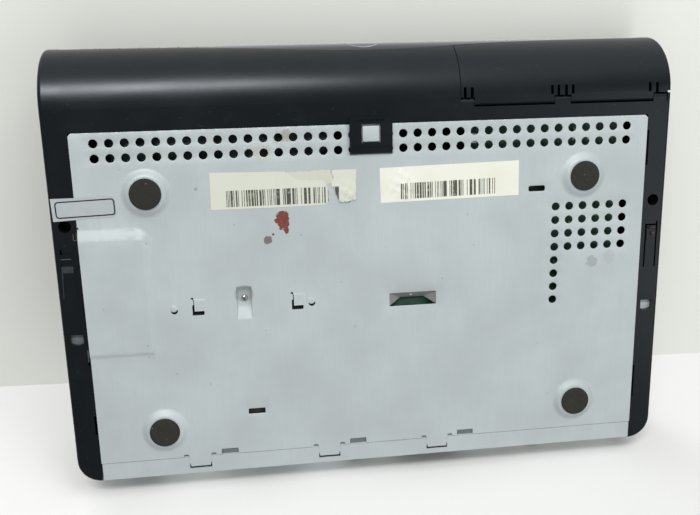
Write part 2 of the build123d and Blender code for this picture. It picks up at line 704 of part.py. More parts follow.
def make_rf_socket(z, inner_pin):
    """Coaxial aerial socket on its block: a sleeve, with a pin inside the outgoing one."""
    bottom = main_top if z == rf_heights[0] else rf_heights[0] + rf_body_half + 0.1
    body = block(rf_x - 7.0, rf_x + 7.0, panel_face - 16.8, panel_inner - 0.3, bottom, z + rf_body_half)
    sleeve = prism_y(rf_x, panel_inner - 2, panel_face + 8.4, z, 4.8 if inner_pin else 6.2, round_sides)
    bore = prism_y(rf_x, panel_face - 4, panel_face + 9, z, 4.2 if inner_pin else 4.9, round_sides)
    core = prism_y(rf_x, panel_face - 4.5, panel_face + 7.0, z, 1.2 if inner_pin else 2.4, small_sides)
    return body + sleeve - bore + core


def make_scart(z):
    """Wide audio-video socket: a shroud with one slanting corner and a slotted contact block."""
    half, tall = scart_width / 2, scart_tall / 2
    bottom = main_top if z == scart_heights[0] else scart_heights[0] + tall + 0.1
    front = panel_face - 18.8
    body = block(scart_x - half, scart_x + half, front, panel_face + 1.6, z - tall, z + tall)
    if z - tall > bottom:
        body += block(scart_x - half, scart_x + half, front, panel_face - 4.8, bottom, z)
    left, right, low, high, deep = scart_x - half + 2.2, scart_x + half - 2.2, z - 5.4, z + 5.4, panel_face - 8
    outline = Polyline((left, deep, low), (right, deep, low), (right, deep, high), (left + 4, deep, high),
                       (left, deep, z + 1.4), close=True)
    cavity = extrude(make_face(outline.edges()), amount=12, dir=(0, 1, 0))
    body -= cavity
    core = block(left + 3.2, right - 3.2, panel_face - 9, panel_face + 0.6, z - 2.6, z + 2.6)
    for index in range(10):
        x = scart_x - 16.2 + index * 3.6
        core -= block(x - 0.5, x + 0.5, panel_face - 5, panel_face + 2, z + 0.6, z + 3)
        core -= block(x + 1.3, x + 2.3, panel_face - 5, panel_face + 2, z - 3, z - 0.6)
    return body + core


def make_phono(z):
    bottom = main_top if z == phono_heights[0] else phono_heights[0] + phono_body_rise + 0.1
    body = block(phono_x - 3.9, phono_x + 5.2, panel_face - 14.8, panel_inner - 0.3,
                 bottom, z + phono_body_rise)
    collar = prism_y(phono_x, panel_inner - 2, panel_inner + sheet + 1, z, 4.9, small_sides)
    sleeve = rod_y(phono_x, panel_inner - 2, panel_face + 8.2, z, phono_radius)
    return body + collar + sleeve - prism_y(phono_x, panel_face - 6, panel_face + 9, z, 1.75, small_sides)


def make_box_socket(x, wide, tall, lift, hole, depth, tongue=None):
    """Board socket: a box with a rectangular mouth, and a contact tongue where it has one."""
    z0 = main_top + lift
    body = block(x - wide / 2, x + wide / 2, panel_face - depth, panel_face + 0.6, z0, z0 + tall)
    middle = z0 + tall / 2
    half, up = hole[0] / 2, hole[1] / 2
    body -= block(x - half, x + half, panel_face - hole[2], panel_face + 2, middle - up, middle + up)
    if tongue:
        body += block(x - tongue[0] / 2, x + tongue[0] / 2, panel_face - hole[2] - 0.5, panel_face - 1.2,
                      middle + tongue[2] - tongue[1] / 2, middle + tongue[2] + tongue[1] / 2)
    return body


def make_inlet():
    """Two-pin figure-of-eight power inlet."""
    left, right, front = inlet_x - 12.2, inlet_x + 12.2, panel_face - 17
    body = block(left, right, front, panel_face + 1.8, inlet_z - 7.5, inlet_z + 7.5)
    body += block(left, right, front, power_board_rear, power_top, inlet_z)
    half, low, high = inlet_pin_pitch / 2, panel_face - 10, panel_face + 3
    body -= block(inlet_x - half, inlet_x + half, low, high, inlet_z - 3.6, inlet_z + 3.6)
    for dx in (-half, half):
        body -= prism_y(inlet_x + dx, low, high, inlet_z, 4.3, round_sides)
    for dx in (-half, half):
        body += prism_y(inlet_x + dx, low - 1, panel_face - 0.6, inlet_z, 1.2, small_sides)
    return body


# ------------------------------------------------------------------ boards and what stands on them
main_post_places = ((-10, 90), (-10, 226), (61, 56), (146, 66), (146, 160), (60, 160))
power_post_places = ((-160, 80), (-132.2, 97.6), (-160, 233), (-131, 190))


def make_main_board():
    board = block(main_board_left, main_board_right, main_board_front, main_board_rear,
                  main_board_z, main_top)
    board += block(main_board_tongue_left, main_board_right, main_board_tongue_front, main_board_front + 1,
                   main_board_z, main_top)
    for x, y in main_post_places:
        board -= Pos(x, y, main_top) * screw_bore(3)
    return board


def make_power_board():
    board = block(power_board_left, power_board_right, power_board_front, power_board_rear,
                  power_board_z, power_top)
    for x, y in power_post_places:
        board -= Pos(x, y, power_top) * screw_bore(3)
    return board


def make_posts(places, top):
    """Hexagonal threaded pillars between the tray and a board."""
    pillar = Pos(0, 0, floor_z) * extrude(RegularPolygon(3.2, 6), amount=top - floor_z)
    pillar -= Pos(0, 0, top) * screw_bore(board_screw_length - board_thick + 0.5)
    return [Pos(x, y, 0) * pillar for x, y in places]


def make_board_screws(places, top):
    """Screws that hold a board down on its pillars."""
    return [Pos(x, y, top) * make_screw(board_screw_length) for x, y in places]


def make_heatsink(x0, x1, y0, y1, z0, z1, fins):
    """Finned block: fins run along y on a base plate."""
    sink = block(x0, x1, y0, y1, z0, z0 + 3)
    pitch = (x1 - x0 - 1.2) / (fins - 1)
    for index in range(fins):
        x = x0 + index * pitch
        sink += block(x, x + 1.2, y0, y1, z0, z1)
    return sink


def make_tuner_can():
    """Tin box over the tuners, open below, with holes for the aerial sockets."""
    x0, x1, y0, tall, tin = 118.0, 154.0, panel_face - 42.8, 24.0, 1.0
    can = block(x0, x1, y0, panel_inner - 0.3, main_top, main_top + tall)
    can -= block(x0 + tin, x1 - tin, y0 + tin, panel_inner - 1.3, main_top - 1, main_top + tall - tin)
    for x, z in f_places:
        can -= prism_y(x, panel_inner - 5, panel_inner + 1, z, f_radius + 0.2, round_sides, hole=True)
    return can


def make_processor():
    half = processor_size / 2
    x, y = processor_place
    return block(x - half, x + half, y - half, y + half, main_top, main_top + processor_thick)


def make_processor_heatsink():
    half = processor_size / 2 + 2
    x, y = processor_place
    bottom = main_top + processor_thick + 0.1
    return make_heatsink(x - half, x + half, y - half, y + half, bottom, main_top + 18, 9)


def make_memory_chips():
    """Two columns of memory chips beside the processor."""
    x0, y0 = processor_place[0] + 24, processor_place[1] - 14
    corners = [(x, y) for x in (x0, x0 + 16) for y in (y0, y0 + 16)]
    return [block(x, x + 12, y, y + 10, main_top, main_top + 1.2) for x, y in corners]


def make_cans(places, top):
    """Capacitors that stand on a board: x, y, height and radius of each."""
    return [prism_z(x, y, top, top + tall, radius, round_sides) for x, y, tall, radius in places]


def make_transformer():
    """Transformer: bobbin flange, core and winding."""
    x, y, half = -144.0, 166.0, 14.0
    body = block(x - half, x + half, y - 16, y + 16, power_top, power_top + 4)
    body += block(x - half + 2, x + half - 2, y - 13, y + 13, power_top + 3, power_top + 22)
    return body + block(x - half, x + half, y - 7, y + 7, power_top + 3, power_top + 25)


def make_power_heatsinks():
    tall, thick = 26.0, 2.0
    return [block(-161, -161 + thick, 110, 146, power_top, power_top + tall),
            block(-161, -146, 188, 188 + thick, power_top, power_top + tall)]


def make_card_reader():
    front, half = bay_rear + bay_wall + 0.3, card_slot_width / 2
    reader = block(card_slot_x - 31, card_slot_x + 31, front, 104, main_top, main_top + 6.6)
    slot = block(card_slot_x - half, card_slot_x + half, 40, 99, card_plane - 0.8, card_plane + 0.8)
    return reader - slot


def make_front_usb():
    body = block(usb_x - 6.6, usb_x + 6.6, bay_rear + bay_wall - 1.2, 56, main_top, main_top + 7.0)
    body -= block(usb_x - 6.0, usb_x + 6.0, 38, 50, main_top + 1.1, main_top + 6.0)
    return body + block(usb_x - 5.3, usb_x + 5.3, 42, 51, main_top + 3.6, main_top + 5.2)


def make_front_board():
    return block(front_board_left, front_board_right, front_board_y, front_board_y + board_thick,
                 front_board_bottom, front_board_top)


def make_switches():
    """One push switch behind each key."""
    switches = []
    for index in range(key_count):
        x = key_left(index) + key_pitch / 2
        z = smile_height(x) + key_height / 2
        body = block(x - 3, x + 3, front_board_y - 3.4, front_board_y, z - 3, z + 3)
        tip = key_stem_end + key_travel + 0.2
        plunger = block(x - 1.6, x + 1.6, tip, front_board_y - 3, z - 1.6, z + 1.6)
        switches.append(body + plunger)
    return switches


# ------------------------------------------------------------------ recorder drive, cradle, fan
def make_drive():
    x1, y1 = drive_left + drive_width, drive_front + drive_length
    z0, z1 = cradle_floor_z + sheet + 0.1, cradle_floor_z + sheet + 0.1 + drive_height
    body = block(drive_left, x1, drive_front, y1, z0, z1 - 3)
    body = fillet(body.edges().filter_by(Axis.Z), 2.5)
    lid = block(drive_left + 2, x1 - 2, drive_front + 2, y1 - 3, z1 - 3.1, z1)
    lid = chamfer(lid.faces().sort_by(Axis.Z)[-1].edges(), 1.0)
    body += lid
    spindle = (drive_left + drive_width / 2, drive_front + 52)
    body -= prism_z(*spindle, z1 - 0.8, z1 + 1, 14, round_sides)
    body += prism_z(*spindle, z1 - 1, z1 - 0.2, 5, round_sides)
    return body - block(drive_left + 30, x1 - 20, y1 - 7, y1 + 1, z0 - 1, z0 + 6)


def drive_screw_rows():
    """Rows of the drive's side holes, at their standard places."""
    return (drive_front + 28.5, drive_front + 28.5 + 101.6)


def make_cradle():
    """Folded cradle: floor, two side walls and four feet that stand on the tray."""
    x0, x1 = drive_left - 0.3 - sheet, drive_left + drive_width + 0.3 + sheet
    y0, y1 = drive_front + 4, drive_front + drive_length - 4
    top = cradle_floor_z + sheet
    cradle = block(x0, x1, y0, y1, cradle_floor_z, top)
    for x in (x0, x1 - sheet):
        cradle += block(x, x + sheet, y0, y1, cradle_floor_z, top + 15)
    for x in (x0 - 5.2, x1 - sheet):
        for y in (y0 + 6, y1 - 20):
            wall_x = x if x > -60 else x0
            cradle += block(wall_x, wall_x + sheet, y, y + 14, floor_z, cradle_floor_z + 1)
            cradle += block(x, x + 6.0, y, y + 14, floor_z, floor_z + sheet)
    cradle -= block(x0 + 16, x1 - 16, y0 + 74, y1 - 16, cradle_floor_z - 1, top + 1)
    cradle -= prism_z(*rivet_place, cradle_floor_z - 1, top + 1, rivet_bore, small_sides, hole=True)
    for x in (x0, x1 - sheet):
        for y in drive_screw_rows():
            cradle -= Pos(x, y, top + drive_screw_rise) * Rot(0, 90, 0) * screw_bore(3)
    return cradle


def make_rivet():
    """Flat-headed rivet that ties the cradle to the tray's pocket."""
    face = plate_z + pocket_depth
    x, y = rivet_place
    head = prism_z(x, y, face - 1.2, face, 2.1, small_sides)
    return head + prism_z(x, y, face - 0.2, cradle_floor_z + sheet, rivet_radius, small_sides)


def make_drive_screws():
    """Two screws through each side wall of the cradle, up to the drive's sides."""
    screws = []
    middle, reach = drive_left + drive_width / 2, drive_width / 2 + 0.3 + sheet
    for side in (-1, 1):
        for y in drive_screw_rows():
            place = Pos(middle + side * reach, y, cradle_floor_z + sheet + drive_screw_rise)
            screws.append(place * Rot(0, side * 90, 0) * make_screw(sheet + 0.2))
    return screws


def make_fan_housing():
    """Square fan frame with a round duct, four arms, a motor cup and its bearing tube."""
    half = fan_size / 2
    y0, y1 = fan_front, fan_front + fan_thick
    frame = block(fan_x - half, fan_x + half, y0, y1, fan_bottom, fan_bottom + fan_size)
    frame = chamfer(frame.edges().filter_by(Axis.Y), 3)
    duct = prism_y(fan_x, y0 - 1, y1 + 1, fan_z, half - 2, 2 * round_sides, hole=True)
    frame -= duct
    arm = block(-half, half, y1 - 2, y1, -1.6, 1.6)
    for angle in (45, 135):
        frame += Pos(fan_x, 0, fan_z) * (Rot(0, angle, 0) * arm) & (duct + frame)
    frame += prism_y(fan_x, y1 - 2, y1, fan_z, 13, round_sides)
    frame += prism_y(fan_x, y1 - 9, y1, fan_z, 3.2, small_sides)
    frame -= rod_y(fan_x, y1 - 10, y1 - 0.6, fan_z, fan_shaft_radius + fan_shaft_clearance)
    bore = Rot(-90, 0, 0) * screw_bore(fan_thick + 2)
    for x, z in fan_screw_places():
        frame -= Pos(x, y1, z) * bore
    return frame


def make_rotor():
    """Fan rotor: a hub cup with pitched blades, and the shaft that runs in the bearing tube."""
    y0, y1 = fan_front + 1.0, fan_front + fan_thick - 3.0
    hub_radius, tip = 12.0, fan_size / 2 - 2 - fan_tip_clearance
    rotor = prism_y(fan_x, y0, y1, fan_z, hub_radius, round_sides)
    rotor -= prism_y(fan_x, y0 + 1.6, y1 + 1, fan_z, hub_radius - 1.4, round_sides)
    rotor += rod_y(fan_x, y0 + 1.0, y1, fan_z, fan_shaft_radius)
    blade = Box(tip - hub_radius + 2, 1.1, y1 - y0 + 1.4)
    cutter = prism_y(fan_x, y0 + 0.2, y1 - 0.4, fan_z, tip, 2 * round_sides)
    cutter -= prism_y(fan_x, y0 - 1, y1 + 1, fan_z, hub_radius - 0.5, round_sides)
    for index in range(fan_blades):
        angle = 360 / fan_blades * index
        middle = (hub_radius + tip) / 2 - 0.5
        placed = Pos(middle, 0, 0) * (Rot(48, 0, 0) * blade)
        standing = Rot(90, 0, 0) * placed
        rotor += (Pos(fan_x, (y0 + y1) / 2, fan_z) * (Rot(0, angle, 0) * standing)) & cutter
    return rotor


def make_fan_screws():
    return [screw_rear(x, z, panel_face, 7.5) for x, z in fan_screw_places()]


# ------------------------------------------------------------------ write every node
key_names = ("standby_key", "left_key", "up_key", "down_key", "right_key", "select_key")


def main():
    keep("top_cover", make_cover())
    keep("front_fascia", make_fascia())
    keep("card_flap", make_flap())
    for index, name in enumerate(key_names):
        keep(name, make_key(index))
    keep("status_ring", make_ring())
    keep("ring_cap", make_ring_cap())
    keep("base_tray", make_tray())
    keep("foot_pads", make_pads())
    keep("cover_screws", make_cover_screws())
    keep("rear_panel", make_rear_panel())
    keep("rear_screws", [screw_rear(x, z, panel_face, sheet + 0.4) for x, z in screw_places])
    keep("lnb_sockets", [make_f_socket(x, z) for x, z in f_places])
    keep("rf_sockets", [make_rf_socket(z, z == rf_heights[0]) for z in rf_heights])
    keep("scart_sockets", [make_scart(z) for z in scart_heights])
    keep("phono_sockets", [make_phono(z) for z in phono_heights])
    keep("hdmi_socket", make_box_socket(hdmi_x, 15.0, 6.0, 0.2, (13.9, 4.6, 9), 12, (11.0, 1.2, 0.4)))
    keep("optical_socket", make_box_socket(hdmi_x, 9.8, 9.8, 12.1, (6.2, 6.2, 6), 13))
    keep("network_socket", make_box_socket(network_x, 15.9, 13.4, 0.2, (11.9, 8.4, 12), 19))
    keep("phone_socket", make_box_socket(phone_x, 12.6, 11.6, 0.2, (9.8, 6.4, 11), 17))
    rear_usb = make_box_socket(network_x, 13.2, 5.8, 17.1, (12.2, 4.8, 10), 14, (10.6, 1.6, 0.8))
    keep("rear_usb_socket", rear_usb)
    keep("mains_inlet", make_inlet())
    keep("main_board", make_main_board())
    keep("board_pillars", make_posts(main_post_places, main_board_z))
    keep("board_screws", make_board_screws(main_post_places, main_top))
    keep("tuner_can", make_tuner_can())
    keep("processor", make_processor())
    keep("processor_heatsink", make_processor_heatsink())
    keep("memory_chips", make_memory_chips())
    keep("board_capacitors", make_cans(board_can_places, main_top))
    keep("card_reader", make_card_reader())
    keep("front_usb_socket", make_front_usb())
    keep("front_board", make_front_board())
    keep("key_switches", make_switches())
    keep("power_board", make_power_board())
    keep("power_pillars", make_posts(power_post_places, power_board_z))
    keep("power_screws", make_board_screws(power_post_places, power_top))
    keep("transformer", make_transformer())
    keep("power_capacitors", make_cans(power_can_places, power_top))
    keep("power_heatsinks", make_power_heatsinks())
    keep("hard_drive", make_drive())
    keep("drive_cradle", make_cradle())
    keep("cradle_rivet", make_rivet())
    keep("drive_screws", make_drive_screws())
    keep("fan_housing", make_fan_housing())
    keep("fan_rotor", make_rotor())
    keep("fan_screws", make_fan_screws())


main()
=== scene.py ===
"""Slim satellite television receiver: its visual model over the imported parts, laid out as an add-on."""

import math
import random

import bmesh
import bpy
from bpy.props import FloatProperty, FloatVectorProperty, IntProperty, PointerProperty
from mathutils import Matrix, Vector
from mathutils.geometry import delaunay_2d_cdt


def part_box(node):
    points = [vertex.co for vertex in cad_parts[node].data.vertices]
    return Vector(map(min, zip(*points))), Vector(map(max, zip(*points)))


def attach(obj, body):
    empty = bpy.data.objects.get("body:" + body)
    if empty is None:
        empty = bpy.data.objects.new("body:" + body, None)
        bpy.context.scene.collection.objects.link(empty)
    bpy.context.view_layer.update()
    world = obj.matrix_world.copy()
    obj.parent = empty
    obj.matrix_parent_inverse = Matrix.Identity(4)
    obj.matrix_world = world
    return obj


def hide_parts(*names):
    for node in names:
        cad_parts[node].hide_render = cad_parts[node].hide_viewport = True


bl_info = {
    "name": "Satellite Receiver",
    "version": (1, 0, 0),
    "blender": (4, 5, 0),
    "location": "3D View > Sidebar > Receiver",
    "description": "Builds the sheet metal, labels, sockets, screws and finishes of a slim satellite receiver",
    "category": "Object",
}

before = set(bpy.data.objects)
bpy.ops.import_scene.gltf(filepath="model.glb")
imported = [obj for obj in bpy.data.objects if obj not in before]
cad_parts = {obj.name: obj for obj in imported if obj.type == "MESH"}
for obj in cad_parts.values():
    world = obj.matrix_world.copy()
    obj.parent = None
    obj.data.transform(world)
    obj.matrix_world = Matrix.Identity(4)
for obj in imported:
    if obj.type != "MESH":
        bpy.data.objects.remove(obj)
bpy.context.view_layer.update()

MM = 0.001
NOSE_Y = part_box("top_cover")[0].y
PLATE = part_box("rear_panel")[0].z / MM      # height of the base plate's outer face
GLOSS_NODES = ("front_fascia", "ring_cap", "standby_key", "left_key", "up_key", "down_key", "right_key", "select_key")


def tone(red, green, blue):
    """A colour given in 0 to 255 display steps, as the linear values that shaders take."""
    steps = [value / 255 for value in (red, green, blue)]
    return tuple(s / 12.92 if s <= 0.04045 else ((s + 0.055) / 1.055) ** 2.4 for s in steps)


def scaled(colour, *shares):
    """The colour times one share, or each channel times its own."""
    return tuple(min(1.0, c * k) for c, k in zip(colour, shares * 3 if len(shares) == 1 else shares))


def place(x, d, z):
    """A point x to the right of the middle, d behind the nose and z above the shelf, all in millimetres."""
    return Vector((x * MM, NOSE_Y + d * MM, z * MM))


# ------------------------------------------------------------------ properties
def colour_setting(name, description, default):
    return FloatVectorProperty(name=name, description=description, default=default, subtype="COLOR",
                               size=3, min=0.0, max=1.0)


def length_setting(name, description, default):
    return FloatProperty(name=name, description=description, default=default, unit="LENGTH", precision=5)


class ReceiverSheetSettings(bpy.types.PropertyGroup):
    """Sizes of the pressed steel underside."""
    thickness: length_setting("Sheet Thickness", "Thickness of the steel sheet", 0.0008)
    vent_radius: length_setting("Vent Radius", "Radius of the round vents", 0.0025)
    vent_pitch_x: length_setting("Vent Pitch Across", "Distance between vents across the case", 0.0085)
    vent_pitch_y: length_setting("Vent Pitch Along", "Distance between rows of vents", 0.00835)
    foot_height: length_setting("Foot Height", "How far the pressed feet stand out of the sheet", 0.0028)
    foot_base: length_setting("Foot Base Radius", "Radius at which a pressed foot leaves the sheet", 0.0142)
    foot_flat: length_setting("Foot Flat Radius", "Radius of the flat that a pad is stuck on", 0.0094)
    field_height: length_setting("Raised Field", "How far the raised field stands out of the sheet", 0.002)
    vent_segments: IntProperty(name="Vent Segments", description="Sides of each vent's rim", default=22, min=8)


class ReceiverFinishSettings(bpy.types.PropertyGroup):
    """Colours of the finishes."""
    steel: colour_setting("Galvanised Steel", "Colour of the base plate and the rear panel", tone(197, 206, 207))
    plastic: colour_setting("Grained Plastic", "Colour of the cover and the flap", (0.0036, 0.0056, 0.0068))
    gloss: colour_setting("Gloss Plastic", "Colour of the front band and the keys", (0.006, 0.006, 0.008))
    rubber: colour_setting("Rubber", "Colour of the foot pads", tone(45, 46, 41))
    paper: colour_setting("Label Paper", "Colour of the paper labels", tone(236, 238, 225))
    sticker: colour_setting("Sticker", "Colour of the film sticker", tone(180, 187, 189))
    ink: colour_setting("Label Ink", "Colour of the printed bars", tone(62, 64, 56))
    rust: colour_setting("Rust", "Colour of the rust stain", tone(118, 52, 38))
    board: colour_setting("Circuit Board", "Colour of the boards' solder resist", tone(44, 84, 68))
    socket: colour_setting("Socket Plastic", "Colour of the moulded sockets", (0.014, 0.014, 0.015))


class ReceiverStageSettings(bpy.types.PropertyGroup):
    """Light and camera."""
    ambient: FloatProperty(name="Ambient", description="Strength of the light from all around", default=0.4)
    backdrop: FloatProperty(name="Backdrop", description="Brightness of the background", default=0.86)
    key: FloatProperty(name="Key Lamp", description="Power of the lamp that faces the underside", default=13.55,
                       subtype="POWER")
    top: FloatProperty(name="Top Lamp", description="Power of the lamp above the cover", default=9.0,
                       subtype="POWER")
    lens: FloatProperty(name="Lens", description="Focal length of the camera", default=41.1,
                        subtype="DISTANCE_CAMERA")
    wall: colour_setting("Wall", "Colour of the wall", tone(241, 244, 236))
    table: colour_setting("Table", "Colour of the table", tone(243, 243, 241))


# ------------------------------------------------------------------ meshes
def rework(mesh, change):
    """Pass a mesh through bmesh for one change."""
    work = bmesh.new()
    work.from_mesh(mesh)
    change(work)
    work.to_mesh(mesh)
    work.free()


def sharpen_borders(work):
    """Mark every border edge sharp, so that a thickened sheet keeps flat faces up to its rims."""
    for edge in work.edges:
        if edge.is_boundary:
            edge.smooth = False


def make_piece(name, points, faces, finishes, body="case", slot=None, picks=None, sharp=40, mend=True):
    """A mesh object in the frame's own coordinates that rides on a body; its finishes are given by name."""
    mesh = bpy.data.meshes.new(name)
    mesh.from_pydata([tuple(p) for p in points], [], faces)
    for finish in finishes:
        mesh.materials.append(bpy.data.materials[finish])
    if picks:
        mesh.polygons.foreach_set("material_index", picks)
    if mend:
        rework(mesh, lambda work: bmesh.ops.recalc_face_normals(work, faces=work.faces))
    mesh.shade_smooth()
    mesh.set_sharp_from_angle(angle=math.radians(sharp))
    rework(mesh, sharpen_borders)
    obj = bpy.data.objects.new(name, mesh)
    bpy.context.scene.collection.objects.link(obj)
    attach(obj, body)
    return obj


def thicken(piece, thickness):
    """Give a sheet its thickness on its inner side."""
    modifier = piece.modifiers.new("Thickness", "SOLIDIFY")
    modifier.thickness = thickness
    modifier.offset = -1.0


class Build:
    """Points and faces that grow as forms are added."""

    def __init__(self):
        self.points = []
        self.faces = []
        self.picks = []

    def add(self, points, faces, pick=0):
        start = len(self.points)
        self.points += [Vector(p) for p in points]
        self.faces += [tuple(start + i for i in face) for face in faces]
        self.picks += [pick] * len(faces)

    def piece(self, name, finishes, slot, **options):
        return make_piece(name, self.points, self.faces, finishes, slot=slot, picks=self.picks, **options)

    def lathe(self, profile, origin, axis, segments=32, pick=0, shape=None):
        """Turn (radius, height) pairs round an axis; shape may push each point by angle and radius."""
        axis = Vector(axis).normalized()
        side = axis.orthogonal().normalized()
        other = axis.cross(side)
        points, rings = [], []
        for radius, height in profile:
            if radius < 1e-7:
                rings.append([len(points)])
                points.append(origin + axis * height)
                continue
            ring = []
            for step in range(segments):
                angle = 2 * math.pi * step / segments
                r, h = shape(angle, radius, height) if shape else (radius, height)
                ring.append(len(points))
                points.append(origin + side * (r * math.cos(angle)) + other * (r * math.sin(angle)) + axis * h)
            rings.append(ring)
        faces = []
        for low, high in zip(rings, rings[1:]):
            if len(low) == len(high) == 1:
                continue
            for step in range(segments):
                after = (step + 1) % segments
                if len(low) == 1:
                    faces.append((low[0], high[after], high[step]))
                elif len(high) == 1:
                    faces.append((low[step], low[after], high[0]))
                else:
                    faces.append((low[step], low[after], high[after], high[step]))
        self.add(points, faces, pick)

    def box(self, x0, x1, d0, d1, z0, z1, edge=0.0, pick=0):
        """A box in millimetres, with its edges cut back by edge."""
        low, high = place(x0, d0, z0), place(x1, d1, z1)
        work = bmesh.new()
        bmesh.ops.create_cube(work, size=1.0)
        middle, size = (low + high) / 2, high - low
        for vertex in work.verts:
            vertex.co = Vector(vertex.co[i] * size[i] + middle[i] for i in range(3))
        if edge:
            bmesh.ops.bevel(work, geom=work.edges[:], offset=edge * MM, segments=2, affect="EDGES", profile=0.5)
        work.verts.index_update()
        self.add([v.co.copy() for v in work.verts], [[v.index for v in f.verts] for f in work.faces], pick)
        work.free()


def circle(x, d, radius, segments, turn=0.0):
    steps = [turn + 2 * math.pi * i / segments for i in range(segments)]
    return [(x + radius * math.cos(a), d + radius * math.sin(a)) for a in steps]


def rectangle(x0, x1, d0, d1, round_by, steps=4):
    """Corner points of a rectangle with rounded corners."""
    points = []
    for cx, cd, start in ((x1 - round_by, d0 + round_by, -90), (x1 - round_by, d1 - round_by, 0),
                          (x0 + round_by, d1 - round_by, 90), (x0 + round_by, d0 + round_by, 180)):
        for step in range(steps + 1):
            angle = math.radians(start + 90 * step / steps)
            points.append((cx + round_by * math.cos(angle), cd + round_by * math.sin(angle)))
    return points


def inside(point, loop):
    x, y = point
    found = False
    for (x0, y0), (x1, y1) in zip(loop, loop[1:] + loop[:1]):
        if (y0 > y) != (y1 > y) and x < (x1 - x0) * (y - y0) / (y1 - y0) + x0:
            found = not found
    return found


def cut_sheet(outline, holes, loose=()):
    """Triangles of a flat sheet with holes; loose points only add detail. Returns points and faces."""
    points, edges = [], []
    for loop in [outline, *holes]:
        start = len(points)
        points += loop
        edges += [(start + i, start + (i + 1) % len(loop)) for i in range(len(loop))]
    points += list(loose)
    made = delaunay_2d_cdt([Vector(p) for p in points], edges, [], 0, 1e-5)
    spots, faces = [tuple(p) for p in made[0]], made[2]
    reach = []
    for loop in holes:
        cx, cy = sum(p[0] for p in loop) / len(loop), sum(p[1] for p in loop) / len(loop)
        reach.append((cx, cy, max(math.hypot(p[0] - cx, p[1] - cy) for p in loop), loop))
    kept = []
    for face in faces:
        middle = (sum(spots[i][0] for i in face) / 3, sum(spots[i][1] for i in face) / 3)
        if inside(middle, outline) and not any(
                math.hypot(middle[0] - cx, middle[1] - cy) < far and inside(middle, loop)
                for cx, cy, far, loop in reach):
            kept.append(tuple(face))
    used = sorted({i for face in kept for i in face})
    order = {old: new for new, old in enumerate(used)}
    return [spots[i] for i in used], [tuple(order[i] for i in face) for face in kept]


def soft_step(value):
    value = min(1.0, max(0.0, value))
    return value * value * (3 - 2 * value)


def islands(node):
    """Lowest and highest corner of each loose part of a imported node."""
    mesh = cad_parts[node].data
    keys, parent = {}, []
    spot = []
    for vertex in mesh.vertices:
        key = tuple(round(c, 7) for c in vertex.co)
        if key not in keys:
            keys[key] = len(parent)
            parent.append(len(parent))
        spot.append(keys[key])

    def root(i):
        while parent[i] != i:
            parent[i] = parent[parent[i]]
            i = parent[i]
        return i

    for polygon in mesh.polygons:
        first = root(spot[polygon.vertices[0]])
        for i in polygon.vertices[1:]:
            parent[root(spot[i])] = first
    boxes = {}
    for key, index in keys.items():
        low, high = boxes.setdefault(root(index), (Vector(key), Vector(key)))
        for axis in range(3):
            low[axis] = min(low[axis], key[axis])
            high[axis] = max(high[axis], key[axis])
    return sorted(boxes.values(), key=lambda pair: tuple(round(c, 5) for c in pair[0]))


# ------------------------------------------------------------------ shader effects
class Wiring:
    """Short ways to add and join nodes in one tree."""

    def __init__(self, tree):
        self.tree = tree
        self.count = 0

    def add(self, kind, values=None, **settings):
        node = self.tree.nodes.new(kind)
        node.location = (200 * (self.count % 12), -220 * (self.count // 12))
        self.count += 1
        for key, value in settings.items():
            setattr(node, key, value)
        for key, value in (values or {}).items():
            self.feed(node.inputs[key], value)
        return node

    def feed(self, socket, value):
        if isinstance(value, bpy.types.NodeSocket):
            self.tree.links.new(value, socket)
        else:
            socket.default_value = value

    def math(self, operation, first, second=0.0):
        return self.add("ShaderNodeMath", {0: first, 1: second}, operation=operation).outputs[0]

    def times(self, first, second):
        return self.math("MULTIPLY", first, second)

    def span(self, value, low, high, to_low=0.0, to_high=1.0, smooth=True):
        """Map low..high to to_low..to_high, clamped."""
        node = self.add("ShaderNodeMapRange", {0: value, 1: low, 2: high, 3: to_low, 4: to_high},
                        interpolation_type="SMOOTHSTEP" if smooth else "LINEAR")
        return node.outputs[0]

    def mix(self, share, first, second):
        """Colour between first and second."""
        node = self.add("ShaderNodeMix", data_type="RGBA")
        for index, value in ((0, share), (6, first), (7, second)):
            if isinstance(value, tuple) and len(value) == 3:
                value = (*value, 1.0)
            self.feed(node.inputs[index], value)
        return node.outputs[2]

    def noise(self, vector, scale, detail=2.0, rough=0.5):
        return self.add("ShaderNodeTexNoise", {"Vector": vector, "Scale": scale, "Detail": detail,
                                               "Roughness": rough}).outputs[0]

    def turned(self, vector, angle):
        return self.add("ShaderNodeVectorRotate", {"Vector": vector, "Angle": angle},
                        rotation_type="Z_AXIS").outputs[0]

    def drawn_out(self, vector, share):
        """Coordinates whose pattern is drawn out along Y: its scale there is a share of that along X."""
        return self.add("ShaderNodeMapping", {"Vector": vector, "Scale": (1.0, share, 1.0)}).outputs[0]

    def parts(self, vector):
        return self.add("ShaderNodeSeparateXYZ", {0: vector}).outputs

    def away(self, vector, centre):
        return self.add("ShaderNodeVectorMath", {0: vector, 1: centre}, operation="SUBTRACT").outputs[0]


def new_group(name, output, **inputs):
    """An empty shader group: its wiring, its named inputs (a vector where None) and its one output's socket."""
    group = bpy.data.node_groups.new(name, "ShaderNodeTree")
    for label, value in inputs.items():
        kind = "NodeSocketVector" if value is None else "NodeSocketFloat"
        made = group.interface.new_socket(label, in_out="INPUT", socket_type=kind)
        if value is not None:
            made.default_value = value
    group.interface.new_socket(output, in_out="OUTPUT", socket_type="NodeSocketFloat")
    w = Wiring(group)
    return w, w.add("NodeGroupInput").outputs, w.add("NodeGroupOutput").inputs[0]


